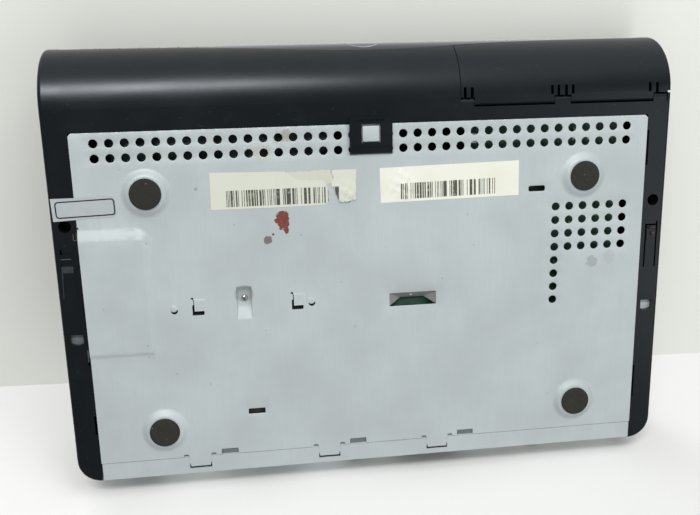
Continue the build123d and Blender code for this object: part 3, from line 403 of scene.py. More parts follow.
def build_effects():
    """The effects that several finishes share."""
    w, given, out = new_group("Cloud", "Mask", Vector=None, Scale=20.0, Detail=3.0, Low=0.4, High=0.6)
    field = w.noise(given["Vector"], given["Scale"], given["Detail"], 0.55)
    w.feed(out, w.span(field, given["Low"], given["High"]))

    w, given, out = new_group("Speckle", "Mask", Vector=None, Scale=300.0, Size=0.2, Share=0.3)
    cells = w.add("ShaderNodeTexVoronoi", {"Vector": given["Vector"], "Scale": given["Scale"]})
    pick = w.add("ShaderNodeSeparateColor", {0: cells.outputs["Color"]})
    chosen = w.math("LESS_THAN", pick.outputs[0], given["Share"])
    size = w.times(given["Size"], w.math("ADD", pick.outputs[1], 0.25))
    w.feed(out, w.times(chosen, w.math("LESS_THAN", cells.outputs["Distance"], size)))

    w, given, out = new_group("Scratches", "Mask", Vector=None, Scale=40.0, Angle=0.5, Width=0.02, Share=0.5)
    level = w.turned(given["Vector"], given["Angle"])
    across = w.math("ADD", w.parts(level)[0], w.times(w.noise(level, 14.0, 1.0), 0.012))
    lane = w.times(across, given["Scale"])
    near = w.math("ABSOLUTE", w.math("SUBTRACT", w.math("FRACT", lane), 0.5))
    line = w.math("LESS_THAN", near, given["Width"])
    spot = w.add("ShaderNodeCombineXYZ", {0: w.math("FLOOR", lane), 1: w.times(w.parts(level)[1], 55.0)})
    alive = w.math("GREATER_THAN", w.noise(spot.outputs[0], 1.0, 2.0), w.math("SUBTRACT", 1.0, given["Share"]))
    w.feed(out, w.times(line, alive))

    w, given, out = new_group("Grain", "Height", Vector=None, Scale=2500.0, Blend=0.5)
    fine = w.noise(given["Vector"], given["Scale"], 2.0, 0.6)
    coarse = w.noise(given["Vector"], w.times(given["Scale"], 0.22), 1.0)
    w.feed(out, w.math("ADD", fine, w.times(coarse, given["Blend"])))

    w, given, out = new_group("Patch", "Mask", Vector=None, Centre=None, Radius=0.004, Stretch=1.0, Ragged=0.5)
    parts = w.parts(w.away(given["Vector"], given["Centre"]))
    flat = w.add("ShaderNodeCombineXYZ", {0: w.times(parts[0], given["Stretch"]), 1: parts[1]})
    far = w.add("ShaderNodeVectorMath", {0: flat.outputs[0]}, operation="LENGTH").outputs["Value"]
    rag = w.math("SUBTRACT", w.noise(given["Vector"], 420.0, 4.0, 0.65), 0.5)
    edge = w.math("ADD", w.math("DIVIDE", far, given["Radius"]), w.times(rag, given["Ragged"]))
    w.feed(out, w.span(edge, 1.06, 0.9))


class Finish:
    """A material in the making: its Principled shader and the object's own coordinates."""

    def __init__(self, name, colour, rough, metal=0.0):
        material = bpy.data.materials.new(name)
        material.use_nodes = True
        tree = material.node_tree
        tree.nodes.clear()
        self.wires = Wiring(tree)
        self.shader = self.wires.add("ShaderNodeBsdfPrincipled")
        self.shader.location = (900, 300)
        out = self.wires.add("ShaderNodeOutputMaterial", {0: self.shader.outputs[0]})
        out.location = (1200, 300)
        self.spot = self.wires.add("ShaderNodeTexCoord").outputs["Object"]
        self.set("Metallic", metal)
        self.coat(colour, rough)

    def set(self, socket, value):
        if isinstance(value, tuple) and len(value) == 3:
            value = (*value, 1.0)
        self.wires.feed(self.shader.inputs[socket], value)

    def coat(self, colour, rough):
        self.set("Base Color", colour)
        self.set("Roughness", rough)

    def bump(self, height, distance, strength):
        node = self.wires.add("ShaderNodeBump", {"Height": height, "Distance": distance, "Strength": strength})
        self.set("Normal", node.outputs[0])

    def effect(self, name, vector=None, **values):
        """The mask or height that a shared effect gives on this finish."""
        return self.wires.add("ShaderNodeGroup", {"Vector": self.spot if vector is None else vector, **values},
                              node_tree=bpy.data.node_groups[name]).outputs[0]

    def over(self, base, colour, mask, share):
        """The base with a share of another colour over it where the mask is."""
        return self.wires.mix(self.wires.times(mask, share), base, colour)


def steel_finish(name, colour, marks=False):
    """Galvanised sheet: faint spangle, rolling streaks, fine scratches and finger marks; with marks, also the base
    plate's rust and smudges and the painted shade in its rivet pocket.
    """
    f = Finish(name, colour, 0.52, 0.2)
    w = f.wires
    long = w.drawn_out(f.spot, 0.06)
    cloud = f.effect("Cloud", Scale=22.0, Detail=4.0, Low=0.32, High=0.7)
    base = w.mix(cloud, scaled(colour, 0.93), scaled(colour, 1.05))
    base = w.mix(w.span(w.noise(long, 900.0, 3.0), 0.2, 0.8, 0.0, 0.22), base, scaled(colour, 0.86))
    worn = w.math("MAXIMUM", f.effect("Scratches", Scale=42.0, Angle=0.35, Width=0.002, Share=0.4),
                  f.effect("Scratches", Scale=31.0, Angle=2.2, Width=0.002, Share=0.38))
    base = f.over(base, scaled(colour, 0.7), worn, 0.08)
    base = f.over(base, scaled(colour, 0.45), f.effect("Speckle", Scale=260.0, Size=0.16, Share=0.05), 0.35)
    smear = f.effect("Cloud", Scale=9.0, Detail=5.0, Low=0.4, High=0.75)
    f.coat(stain_and_shade_steel(f, base) if marks else base, w.span(smear, 0.0, 1.0, 0.5, 0.6, smooth=False))
    grain = f.effect("Grain", long, Scale=2600.0, Blend=0.6)
    f.bump(w.math("SUBTRACT", grain, w.times(worn, 0.5)), 0.00001, 0.45)


RUST = ((-52.4, 97.0, 3.3, 0.9, 1.5), (-52.0, 101.2, 3.4, 1.0, 1.6), (-50.6, 104.8, 2.2, 1.4, 1.7),
        (-55.6, 99.6, 1.5, 0.8, 1.4), (-58.4, 107.4, 0.7, 1.0, 1.2))    # x, d, radius, stretch, raggedness
SMUDGES_AND_POCKET_SHADE = (                                 # x, d, radius, raggedness, share and colour of the smudges, and of the painted shade in the rivet's pocket
    (-48.6, 50.6, 3.4, 1.6, 0.42, tone(140, 122, 84)), (-62.5, 60.5, 5.0, 1.6, 0.25, tone(186, 186, 150)),
    (-61.6, 110.6, 2.3, 1.6, 0.8, tone(112, 84, 88)), (137.0, 134.0, 3.6, 1.6, 0.35, tone(120, 120, 118)),
    (-53.6, 52.4, 3.2, 1.6, 0.25, tone(168, 150, 116)), (148.0, 132.0, 4.0, 1.6, 0.12, tone(120, 120, 118)),
    # the first patch on the next line is painted shade on the floor and front wall of the rivet's pocket
    (-77.1, 142.4, 5.6, 0.0, 0.42, tone(126, 132, 132)), (-101.0, 79.0, 1.0, 1.6, 0.5, tone(130, 134, 134)))


def stain_and_shade_steel(f, base):
    """The rust stain, its drops, the darker smudges of the base plate, and painted shade on the floor and front wall
    of the rivet's pocket.
    """
    w = f.wires

    def patch(x, d, radius, stretch, ragged):
        return f.effect("Patch", Centre=tuple(place(x, d, PLATE)), Radius=radius * MM, Stretch=stretch,
                        Ragged=ragged)

    rust = tuple(bpy.context.scene.receiver_finish.rust)
    old = patch(*RUST[0])
    for spot in RUST[1:]:
        old = w.math("MAXIMUM", old, patch(*spot))
    speckle = w.noise(f.spot, 900.0, 4.0, 0.7)
    brown = w.mix(w.span(speckle, 0.35, 0.65), scaled(rust, 0.55), scaled(rust, 1.7))
    base = w.mix(w.times(old, w.span(speckle, 0.25, 0.42, 0.35, 0.95)), base, brown)
    # one of these patches is painted shade in the rivet's pocket; the rest are smudges
    for x, d, radius, ragged, share, colour in SMUDGES_AND_POCKET_SHADE:
        base = f.over(base, colour, patch(x, d, radius, 1.0, ragged), share)
    return base


def plastic_finish(name, colour, rough=0.31, dust=0.3, grain=1.0):
    """Moulded black plastic with a fine eroded grain, wiped patches and a little dust."""
    f = Finish(name, colour, rough)
    f.set("Specular IOR Level", 0.6)
    f.set("Specular Tint", (0.9, 0.95, 1.0))
    w = f.wires
    cloud = f.effect("Cloud", Scale=26.0, Detail=5.0, Low=0.38, High=0.72)
    base = w.mix(cloud, scaled(colour, 0.92), scaled(colour, 1.15))
    specks = f.effect("Speckle", Scale=420.0, Size=0.22, Share=0.12)
    base = f.over(base, (0.22, 0.22, 0.21), specks, dust * 0.16)
    haze = f.effect("Cloud", Scale=90.0, Detail=6.0, Low=0.5, High=0.8)
    base = f.over(base, (0.3, 0.3, 0.29), haze, dust * 0.03)
    lines = f.effect("Scratches", Scale=55.0, Angle=1.3, Width=0.008, Share=0.36)
    f.coat(f.over(base, (0.2, 0.2, 0.2), lines, 0.08),
           w.span(cloud, 0.0, 1.0, rough - 0.01, rough + 0.03, smooth=False))
    f.bump(f.effect("Grain", Scale=2200.0, Blend=0.5), 0.000025 * grain, 0.5)


def gloss_finish(name, colour):
    """Polished black plastic with hairline rubbing and a fingerprint haze."""
    f = Finish(name, colour, 0.08)
    w = f.wires
    haze = f.effect("Cloud", Scale=60.0, Detail=6.0, Low=0.45, High=0.8)
    lines = f.effect("Scratches", Scale=160.0, Angle=1.45, Width=0.02, Share=0.4)
    f.coat(f.over(colour, (0.2, 0.2, 0.2), haze, 0.05),
           w.math("ADD", w.span(haze, 0.0, 1.0, 0.07, 0.16), w.times(lines, 0.12)))
    f.set("Coat Weight", 0.5)
    f.set("Coat Roughness", 0.05)
    f.bump(w.noise(f.spot, 35.0, 1.0), 0.00006, 0.3)


def rubber_finish(name, colour):
    """Dull rubber with pale scuffs and dust."""
    f = Finish(name, colour, 0.85)
    w = f.wires
    streaks = w.noise(w.drawn_out(w.turned(f.spot, 0.6), 0.12), 700.0, 4.0, 0.6)
    base = w.mix(w.span(streaks, 0.35, 0.7), scaled(colour, 0.8), scaled(colour, 1.25))
    base = f.over(base, (0.3, 0.29, 0.27), f.effect("Speckle", Scale=500.0, Size=0.24, Share=0.08), 0.4)
    dark = f.effect("Patch", Centre=tuple(place(*DARK_PAD, 0.0)), Radius=0.012, Stretch=1.0, Ragged=0.4)
    f.coat(f.over(base, tone(26, 28, 25), dark, 0.22), w.span(streaks, 0.3, 0.7, 0.74, 0.92))
    f.bump(f.effect("Grain", Scale=1400.0, Blend=0.8), 0.00006, 0.6)


def paper_finish(name, colour, ink, bars=None):
    """Label paper with rubbed, yellowed edges; bars is (centre x, centre d, half width, half height, turn)."""
    f = Finish(name, colour, 0.55)
    w = f.wires
    stain = f.effect("Cloud", Scale=75.0, Detail=5.0, Low=0.42, High=0.75)
    base = f.over(colour, scaled(colour, 0.9, 0.86, 0.74), stain, 0.4)
    fibre = w.noise(f.spot, 1800.0, 3.0, 0.6)
    base = w.mix(w.span(fibre, 0.3, 0.7, 0.0, 0.12), base, scaled(colour, 0.8))
    if bars:
        x, d, half_wide, half_tall, turn = bars
        across, along, _ = w.parts(w.turned(w.away(f.spot, tuple(place(x, d, 0))), turn))
        # bars and gaps of random width, which encode nothing
        cell = w.math("FLOOR", w.math("DIVIDE", across, BAR_WIDTH))
        pick = w.add("ShaderNodeTexWhiteNoise", {"W": cell}, noise_dimensions="1D").outputs[0]
        within = w.times(w.math("LESS_THAN", w.math("ABSOLUTE", across), half_wide * MM),
                         w.math("LESS_THAN", w.math("ABSOLUTE", along), half_tall * MM))
        rubbed = w.span(w.noise(f.spot, 260.0, 4.0, 0.7), 0.3, 0.5, 0.55, 0.95)
        bar = w.times(w.math("GREATER_THAN", pick, 1.0 - BAR_SHARE), within)
        base = w.mix(w.times(bar, rubbed), base, ink)
    f.coat(base, w.span(fibre, 0.3, 0.7, 0.5, 0.65))
    f.bump(w.noise(f.spot, 320.0, 4.0, 0.6), 0.00012, 0.5)


def film_finish(name, colour):
    """Printed film with a slight sheen and small air marks under it."""
    f = Finish(name, colour, 0.38)
    w = f.wires
    marks = w.noise(f.spot, 140.0, 3.0)
    f.coat(w.mix(w.span(marks, 0.35, 0.7, 0.0, 0.3), colour, scaled(colour, 0.82)),
           w.span(marks, 0.3, 0.7, 0.34, 0.48))
    f.bump(marks, 0.00008, 0.4)


def board_finish(name, colour):
    """Circuit board: solder resist with tracks, small pads and printed component dots."""
    f = Finish(name, colour, 0.35)
    w = f.wires
    wander = w.math("FLOOR", w.times(w.noise(f.spot, 60.0, 0.0), 6.0))
    lane = w.math("FRACT", w.math("ADD", w.times(w.parts(f.spot)[1], 620.0), wander))
    track = w.math("LESS_THAN", lane, 0.45)
    zone = f.effect("Cloud", Scale=70.0, Detail=1.0, Low=0.47, High=0.5)
    base = f.over(colour, scaled(colour, 1.7), w.times(track, zone), 0.6)
    pads = f.effect("Speckle", Scale=330.0, Size=0.2, Share=0.35)
    base = f.over(base, (0.5, 0.48, 0.42), pads, 0.8)
    dust = f.effect("Cloud", Scale=40.0, Detail=5.0, Low=0.35, High=0.8)
    f.coat(f.over(base, (0.2, 0.2, 0.19), dust, 0.18), w.span(dust, 0.0, 1.0, 0.3, 0.6))
    f.bump(w.math("ADD", track, w.times(pads, 2.0)), 0.00004, 0.5)


def metal_finish(name, colour, rough, worn=0.3):
    """Plated or milled metal with fine directional marks and dull patches."""
    f = Finish(name, colour, rough, 1.0)
    w = f.wires
    dull = f.effect("Cloud", Scale=130.0, Detail=4.0, Low=0.4, High=0.75)
    f.coat(f.over(colour, scaled(colour, 0.6), dull, worn), w.span(dull, 0.0, 1.0, rough, min(0.9, rough + 0.2)))
    f.bump(w.noise(w.drawn_out(f.spot, 0.1), 2400.0, 2.0), 0.00001, 0.5)


def chip_finish(name, colour, rough=0.55):
    """Moulded epoxy, wound or painted parts: fine mottle and dust."""
    f = Finish(name, colour, rough)
    w = f.wires
    fleck = w.noise(f.spot, 1500.0, 3.0, 0.7)
    dust = f.effect("Cloud", Scale=80.0, Detail=5.0, Low=0.45, High=0.8)
    base = w.mix(w.span(fleck, 0.3, 0.7, 0.0, 0.5), colour, scaled(colour, 1.6))
    f.coat(f.over(base, (0.3, 0.3, 0.28), dust, 0.12), w.span(dust, 0.0, 1.0, rough, min(0.95, rough + 0.2)))
    f.bump(fleck, 0.00003, 0.5)


def blotched_finish(name, dark, pale):
    """Insulating film: dark, with paler folds and dusty patches."""
    f = Finish(name, dark, 0.45)
    folds = f.effect("Cloud", Scale=75.0, Detail=2.0, Low=0.42, High=0.66)
    dust = f.effect("Cloud", Scale=260.0, Detail=3.0, Low=0.45, High=0.7)
    f.coat(f.over(f.wires.mix(folds, dark, pale), dark, dust, 0.4), f.wires.span(folds, 0.0, 1.0, 0.4, 0.6))
    f.bump(folds, 0.0001, 0.4)


def clear_finish(name):
    """Smoked clear plastic of the light guide."""
    f = Finish(name, (0.42, 0.46, 0.5), 0.12)
    w = f.wires
    milk = w.noise(f.spot, 220.0, 3.0)
    f.coat(w.mix(w.span(milk, 0.3, 0.7), (0.3, 0.33, 0.37), (0.5, 0.54, 0.58)), w.span(milk, 0.3, 0.7, 0.1, 0.2))
    f.set("Transmission Weight", 0.35)
    f.set("IOR", 1.49)


def build_finishes():
    """Every finish, by name."""
    build_effects()
    s = bpy.context.scene.receiver_finish
    paper, ink = tuple(s.paper), tuple(s.ink)
    steel_finish("Galvanised_Steel", tuple(s.steel))
    steel_finish("Base_Plate_Steel", tuple(s.steel), marks=True)
    plastic_finish("Grained_Plastic", tuple(s.plastic))
    plastic_finish("Socket_Plastic", tuple(s.socket), rough=0.4, dust=0.15, grain=0.5)
    plastic_finish("Phono_White", (0.6, 0.6, 0.57), rough=0.4, dust=0.2, grain=0.5)
    gloss_finish("Gloss_Plastic", tuple(s.gloss))
    clear_finish("Smoked_Clear_Plastic")
    rubber_finish("Pad_Rubber", tuple(s.rubber))
    board_finish("Board_Green", tuple(s.board))
    metal_finish("Nickel_Plate", (0.66, 0.64, 0.6), 0.24)
    metal_finish("Zinc_Plate", (0.6, 0.61, 0.62), 0.3)
    metal_finish("Mill_Aluminium", (0.72, 0.73, 0.74), 0.38, worn=0.2)
    metal_finish("Tinned_Steel", (0.68, 0.69, 0.7), 0.3, worn=0.25)
    blotched_finish("Insulating_Film", (0.003, 0.006, 0.006), (0.045, 0.075, 0.068))
    # in this list, the dull dark steel and the black foam are painted shade, and the pale mark is partly a painted
    # highlight
    for name, colour, rough in (("Chip_Epoxy", (0.02, 0.02, 0.022), 0.55), ("Can_Sleeve", (0.02, 0.02, 0.028), 0.3),
                                ("Winding_Tape", (0.55, 0.42, 0.08), 0.4), ("Black_Zinc", (0.012, 0.012, 0.013), 0.4),
                                ("Painted_Shade_Black", (0.004, 0.004, 0.004), 0.95), ("Solder", (0.62, 0.62, 0.6), 0.25),
                                ("Painted_Shade_Steel", (0.13, 0.15, 0.155), 0.5), ("Pale_Mark_And_Highlight", (0.06, 0.066, 0.066), 0.4),
                                ("Shaded_Steel", (0.2, 0.215, 0.21), 0.5), ("Grey_Patch_Mark", (0.03, 0.033, 0.035), 0.3),
                                ("Sticker_Ink", (0.01, 0.01, 0.011), 0.5)):
        chip_finish(name, colour, rough)
    paper_finish("Label_One_Paper", scaled(paper, 0.8, 0.82, 0.8), ink, bars=(-51.8, 85.5, 32.5, 4.7, 0.0))
    paper_finish("Label_Two_Paper", paper, ink, bars=(46.6, 84.85, 29.4, 4.7, 0.018))
    paper_finish("Label_Residue", scaled(paper, 0.74, 0.75, 0.7), ink)
    film_finish("Sticker_Film", tuple(s.sticker))


def dress(finish, *nodes):
    """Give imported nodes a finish."""
    for node in nodes:
        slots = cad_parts[node].material_slots
        if not slots:
            raise RuntimeError(f"{node} has no material slot")
        for held in slots:
            held.material = bpy.data.materials[finish]


# ------------------------------------------------------------------ stage
TABLE_AWAY = Vector((0.0, -0.233, 0.9725))  # over the table, away from the viewer
CORNER = Vector((0.0, 0.1106, 0.126))       # where table and wall meet
NOSE_AXIS = Vector((0.0, -0.09935, 0.0372))     # middle of the nose's curve, which touches the wall
NOSE_RADIUS = 0.0329
WALL_TURN = -2.1                            # degrees by which the wall and the table are turned
ROOM_BELOW, ROOM_ABOVE = 0.16, 0.72         # shares of the backdrop in the mirrored room
SKY_TINT = (0.985, 0.995, 1.0, 1.0)
TABLE_WIDE, TABLE_NEAR, WALL_TALL = 3.0, 1.2, 3.0
VEILS = (("Veil_Near", -0.3), ("Veil_Far", -0.302))
FLOOR_REACH, FLOOR_Z, FLOOR_SHARE, FLOOR_GLOW = 9, -0.0002, 0.62, 0.7
CAMERA_SPOT = (-0.070952, -0.118969, -0.453641)
CAMERA_TURN = (166.70180, 7.45277, 1.34900)     # degrees
LOW, HIGH = (0, 0, 0.02), (0, 0, 0.05)      # what the lamps below and above aim at
LAMPS = (                                   # name, place, aim, size, setting, share of it, shows in gloss
    ("Key", (-0.37, -1.16, -1.33), LOW, (0.8, 0.3), "key", 1.0, True),
    ("Side", (1.1, 0.2, -1.2), LOW, (0.9, 0.9), "key", 0.15, True),
    ("Front_Fill", (0.5, -1.25, -1.0), LOW, (1.0, 1.0), "key", 0.75, False),
    ("Bounce", (0.3, 1.0, -0.8), LOW, (1.0, 1.0), "key", 0.26, False),
    ("Top_Key", (-0.55, -0.75, 1.1), HIGH, (0.7, 0.7), "top", 1.0, False),
    ("Top_Fill", (0.9, 0.5, 0.9), HIGH, (0.9, 0.9), "top", 0.45, True),
    ("Rear_Fill", (-0.3, 1.1, 0.5), (0, 0.1, 0.04), (0.8, 0.5), "top", 0.4, True))


def stage_plane(name, corners, colour, glow=0.0, below=False, clear=False):
    """A one-sided surface that only the camera sees, from its front; below: only from under the veils."""
    mesh = bpy.data.meshes.new(name)
    mesh.from_pydata([tuple(c) for c in corners], [], [tuple(range(len(corners)))])
    obj = bpy.data.objects.new(name, mesh)
    bpy.context.scene.collection.objects.link(obj)
    material = bpy.data.materials.new(name)
    material.use_nodes = True
    tree = material.node_tree
    tree.nodes.clear()
    w = Wiring(tree)
    hidden = 1.0
    if not clear:
        hidden = w.add("ShaderNodeNewGeometry").outputs["Backfacing"]
    if below:
        passed = w.math("GREATER_THAN", w.add("ShaderNodeLightPath").outputs["Transparent Depth"], 1.5)
        hidden = w.math("MAXIMUM", hidden, w.math("SUBTRACT", 1.0, passed))
    diffuse = w.add("ShaderNodeBsdfDiffuse", {"Color": (*colour, 1.0)})
    light = w.add("ShaderNodeEmission", {"Color": (*colour, 1.0), "Strength": glow})
    face = w.add("ShaderNodeAddShader", {0: diffuse.outputs[0], 1: light.outputs[0]})
    through = w.add("ShaderNodeBsdfTransparent")
    shader = w.add("ShaderNodeMixShader", {0: hidden, 1: face.outputs[0], 2: through.outputs[0]})
    w.add("ShaderNodeOutputMaterial", {0: shader.outputs[0]})
    mesh.materials.append(material)
    for kind in ("diffuse", "glossy", "transmission", "shadow", "volume_scatter"):
        setattr(obj, "visible_" + kind, False)


def square(reach, z):
    return [(-reach, -reach, z), (reach, -reach, z), (reach, reach, z), (-reach, reach, z)]


def add_lamp(name, spot, aim, size, power, in_gloss):
    lamp = bpy.data.lights.new(name, "AREA")
    lamp.shape = "RECTANGLE"
    lamp.size, lamp.size_y = size
    lamp.energy = power
    obj = bpy.data.objects.new(name, lamp)
    obj.location = spot
    obj.rotation_mode = "QUATERNION"
    obj.rotation_quaternion = (Vector(aim) - Vector(spot)).to_track_quat("-Z", "Y")
    obj.visible_glossy = in_gloss
    bpy.context.scene.collection.objects.link(obj)
    return obj


def build_world(s):
    """The room's light: one level for the camera, an even one, and a gradient that the gloss mirrors."""
    world = bpy.data.worlds.new("Studio")
    world.use_nodes = True
    world.node_tree.nodes.clear()
    w = Wiring(world.node_tree)
    path = w.add("ShaderNodeLightPath").outputs
    seen = w.math("MAXIMUM", path["Is Camera Ray"], path["Is Transmission Ray"])
    strength = w.math("ADD", w.times(seen, s.backdrop - s.ambient), s.ambient)
    # the mirrored room is bright above and in front, and dimmer underneath
    towards = w.parts(w.add("ShaderNodeTexCoord").outputs["Generated"])
    high = w.math("MAXIMUM", w.times(towards[1], -1.0), towards[2])
    room = w.span(high, 0.15, 0.85, s.backdrop * ROOM_BELOW, s.backdrop * ROOM_ABOVE)
    mirrored = w.times(path["Is Glossy Ray"], w.math("SUBTRACT", room, strength))
    sky = w.add("ShaderNodeBackground", {"Color": SKY_TINT, "Strength": w.math("ADD", strength, mirrored)})
    w.add("ShaderNodeOutputWorld", {0: sky.outputs[0]})
    bpy.context.scene.world = world


class RECEIVER_OT_stage(bpy.types.Operator):
    """Set up the table and wall that the receiver leans on, the floor, the soft light and the camera"""
    bl_idname = "receiver.stage"
    bl_label = "Stage, Light and Camera"

    def execute(self, context):
        s = context.scene.receiver_stage
        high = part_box("top_cover")[1]
        edge = Vector((0.0, high.y, high.z))
        to_nose = NOSE_AXIS - CORNER
        lean = math.asin(NOSE_RADIUS / to_nose.length)
        up = Matrix.Rotation(-lean, 3, "X") @ to_nose.normalized()
        turn = Matrix.Rotation(math.radians(WALL_TURN), 3, up)
        wide = turn @ Vector((TABLE_WIDE, 0.0, 0.0))
        near = edge - turn @ TABLE_AWAY * TABLE_NEAR
        top = CORNER + up * WALL_TALL
        stage_plane("Table", [near + wide, CORNER + wide, CORNER - wide, near - wide], tuple(s.table), below=True)
        stage_plane("Wall", [CORNER + wide, top + wide, top - wide, CORNER - wide], tuple(s.wall), below=True)
        # two clear sheets far below tell a camera under the floor from one above it
        for name, z in VEILS:
            stage_plane(name, square(TABLE_WIDE, z), (1, 1, 1), clear=True)
        stage_plane("Floor", square(FLOOR_REACH, FLOOR_Z), scaled(s.table, FLOOR_SHARE), glow=FLOOR_GLOW)
        build_world(s)
        # the gloss parts of the front stay free of the lamps that stand below the floor and show in gloss
        apart = bpy.data.collections.new("Gloss_Parts")
        for node in GLOSS_NODES:
            apart.objects.link(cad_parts[node])
        for member in apart.collection_objects:
            member.light_linking.link_state = "EXCLUDE"
        for name, spot, aim, size, setting, share, in_gloss in LAMPS:
            lamp = add_lamp(name, spot, aim, size, getattr(s, setting) * share, in_gloss)
            if spot[2] < 0 and in_gloss:
                lamp.light_linking.receiver_collection = apart
        camera = bpy.data.cameras.new("Camera")
        camera.lens = s.lens
        camera.sensor_width = 36.0
        camera.clip_start = 0.01
        obj = bpy.data.objects.new("Camera", camera)
        obj.location = CAMERA_SPOT
        obj.rotation_euler = [math.radians(a) for a in CAMERA_TURN]
        context.scene.collection.objects.link(obj)
        context.scene.camera = obj
        context.scene.view_settings.view_transform = "Standard"
        return {"FINISHED"}


# ------------------------------------------------------------------ base plate, in millimetres
FOOT_PLACES = [((low.x + high.x) / 2 / MM, ((low.y + high.y) / 2 - NOSE_Y) / MM)
               for low, high in islands("foot_pads")]
DARK_PAD = min(FOOT_PLACES)
HALF = 168.1                                # half the plate's width
FRONT_EDGE = 45.7
BEND_DEEP, BEND_WIDE = 0.6, 0.95            # of the rounding at the front edge
FRONT_BEND = 46.6                           # the sheet starts to bend inwards here, at its front edge
SEAM = 243.85                               # the plate's rear edge
TONGUE_END = 250.3
TABS = (-109.1, -29.4, 39.3)                # middles of the tongues over the rear panel's lap
FIELD = (-HALF, -128.8, 99.6, 177.3)        # left, right, front and back of the raised field
FIELD_RAMP = 6.9                            # depth of its front slope
FIELD_BACK = 3.6                            # depth of its rear slope
FIELD_START = 1.1                           # share of its height that it has at the front
FIELD_FALL = 0.5                            # share of its height that it loses towards the rear
FIELD_ROUND = 7.5                           # radius of its front corner
POCKET = (-81.6, -72.6, 137.6, 158.0)       # left, right, front and back of the rivet's pocket
POCKET_SINK = 3.0
HOOD = (17.2, 31.6, 151.2, 8.4)             # left and right end, d and height of the window hood's inner edge
STUD = (23.4, 148.9, 6.2)
LANCES = (-107.6, -49.2)                    # x of the lifted tabs
LUGS = ((-118.0, 150.4), (-37.2, 150.2))    # the lifted half-round lugs
TAB_LIFT, LUG_LIFT = 0.28, 0.35
GAP_RADIUS, LUG_RADIUS = 2.0, 2.15          # of the half-round gap and of the lug in it
LUG_SHIFT = (-0.35, -1.6)                   # from a gap's middle to its lug's
RIM_DRAW = 0.13                             # how far the punch has drawn the holes' rims inwards
RIM_RING = 0.3                              # width of the ring of detail round a hole
OUTLINE_STEP = 2.6
FEWEST_FACES = 2000                         # a sheet with fewer faces has gone wrong
SHEET = 0.8
VENT_ROWS = (10.55, 51.6)                   # x and d of the vent next to the clip
VENT_BLOCK = (155.05, 98.75)                # x and d of the block's first vent
# left, right, front, back and corner radius of the windows; then the black foam backings' left, right, front and
# back, which are painted shade behind the gaps
WINDOWS = ((9.8, 38.5, 147.2, 155.4, 0.4), (95.15, 105.35, 85.45, 88.85, 1.0), (-78.2, -68.0, 215.1, 218.5, 0.6))
EARS = ((90.4, 104.4, 20.1), (157.5, 173.5, 7.1))   # front, back and height of the side walls' bent ears
SHADE_BACKINGS = ((-80.0, -66.0, 213.0, 221.0), (-110.0, -98.0, 140.5, 156.0), (-52.0, -40.0, 140.5, 156.0),
        (-121.5, -114.5, 147.0, 154.0), (-40.0, -34.0, 147.0, 154.0))
LOOSE_STEP = (8.37, 8.21)                   # a loose grid keeps the large flat parts free of slivers


def vent_places(sheet):
    """Centres of the vents: two rows either side of the clip, a block and its tail."""
    across, along = sheet.vent_pitch_x / MM, sheet.vent_pitch_y / MM
    row_x, row_d = VENT_ROWS
    block_x, block_d = VENT_BLOCK
    places = []
    for row in range(2):
        for column in range(18):
            x, d = row_x + column * across, row_d + row * along
            places += [(-x, d), (x, d)]
    for row in range(4):
        places += [(block_x - column * across, block_d + row * along) for column in range(6)]
    return places + [(block_x - 5 * across, block_d + row * along) for row in range(4, 8)]


def lance(x):
    """Outline of the gap beside a lifted tab: a small square, a thin neck and a broad L."""
    return [(x - 0.5, 142.9), (x + 0.9, 142.9), (x + 0.9, 143.9), (x + 1.25, 144.6), (x + 1.3, 151.2),
            (x + 6.6, 151.2), (x + 7.0, 151.6), (x + 6.8, 153.4), (x + 6.4, 153.8), (x, 153.8), (x, 147.8),
            (x + 0.75, 147.2), (x + 0.75, 144.8), (x + 0.2, 143.9), (x - 0.5, 143.9)]


def crescent(x, d):
    """Outline of a half-round gap round a lifted lug."""
    lug_x, lug_d = x + LUG_SHIFT[0], d + LUG_SHIFT[1]
    outer = [p for p in circle(x, d, GAP_RADIUS, 48, -1.0)
             if math.hypot(p[0] - lug_x, p[1] - lug_d) > LUG_RADIUS]
    inner = [p for p in circle(lug_x, lug_d, LUG_RADIUS, 48, -1.0)
             if math.hypot(p[0] - x, p[1] - d) < GAP_RADIUS]
    return outer + inner[::-1]


def tab_lift(x, d):
    """How far the tabs beside the gaps and the half-round lugs are lifted."""
    out = 0.0
    for left in LANCES:
        if left + 1.2 < x < left + 8.2 and 143.6 < d < 151.3:
            out = max(out, TAB_LIFT * soft_step((left + 8.1 - x) / 0.9) * soft_step((d - 143.7) / 0.9))
    for cx, cd in LUGS:
        far = math.hypot(x - cx - LUG_SHIFT[0], d - cd - LUG_SHIFT[1])
        out = max(out, LUG_LIFT * soft_step((2.3 - far) / 1.4))
    return out


def split_loop(loop, step):
    """The loop with further points, no further apart than step."""
    made = []
    for (x0, y0), (x1, y1) in zip(loop, loop[1:] + loop[:1]):
        count = max(1, math.ceil(math.hypot(x1 - x0, y1 - y0) / step))
        made += [(x0 + (x1 - x0) * i / count, y0 + (y1 - y0) * i / count) for i in range(count)]
    return made


def offset_loop(loop, by):
    """The loop pushed outwards by a distance, point by point."""
    after = loop[1:] + loop[:1]
    way = math.copysign(by, sum(x0 * y1 - x1 * y0 for (x0, y0), (x1, y1) in zip(loop, after)))
    made = []
    for (x0, y0), (x, y), (x1, y1) in zip(loop[-1:] + loop[:-1], loop, after):
        size = math.hypot(x1 - x0, y1 - y0) or 1.0
        made.append((x + (y1 - y0) / size * way, y + (x0 - x1) / size * way))
    return made


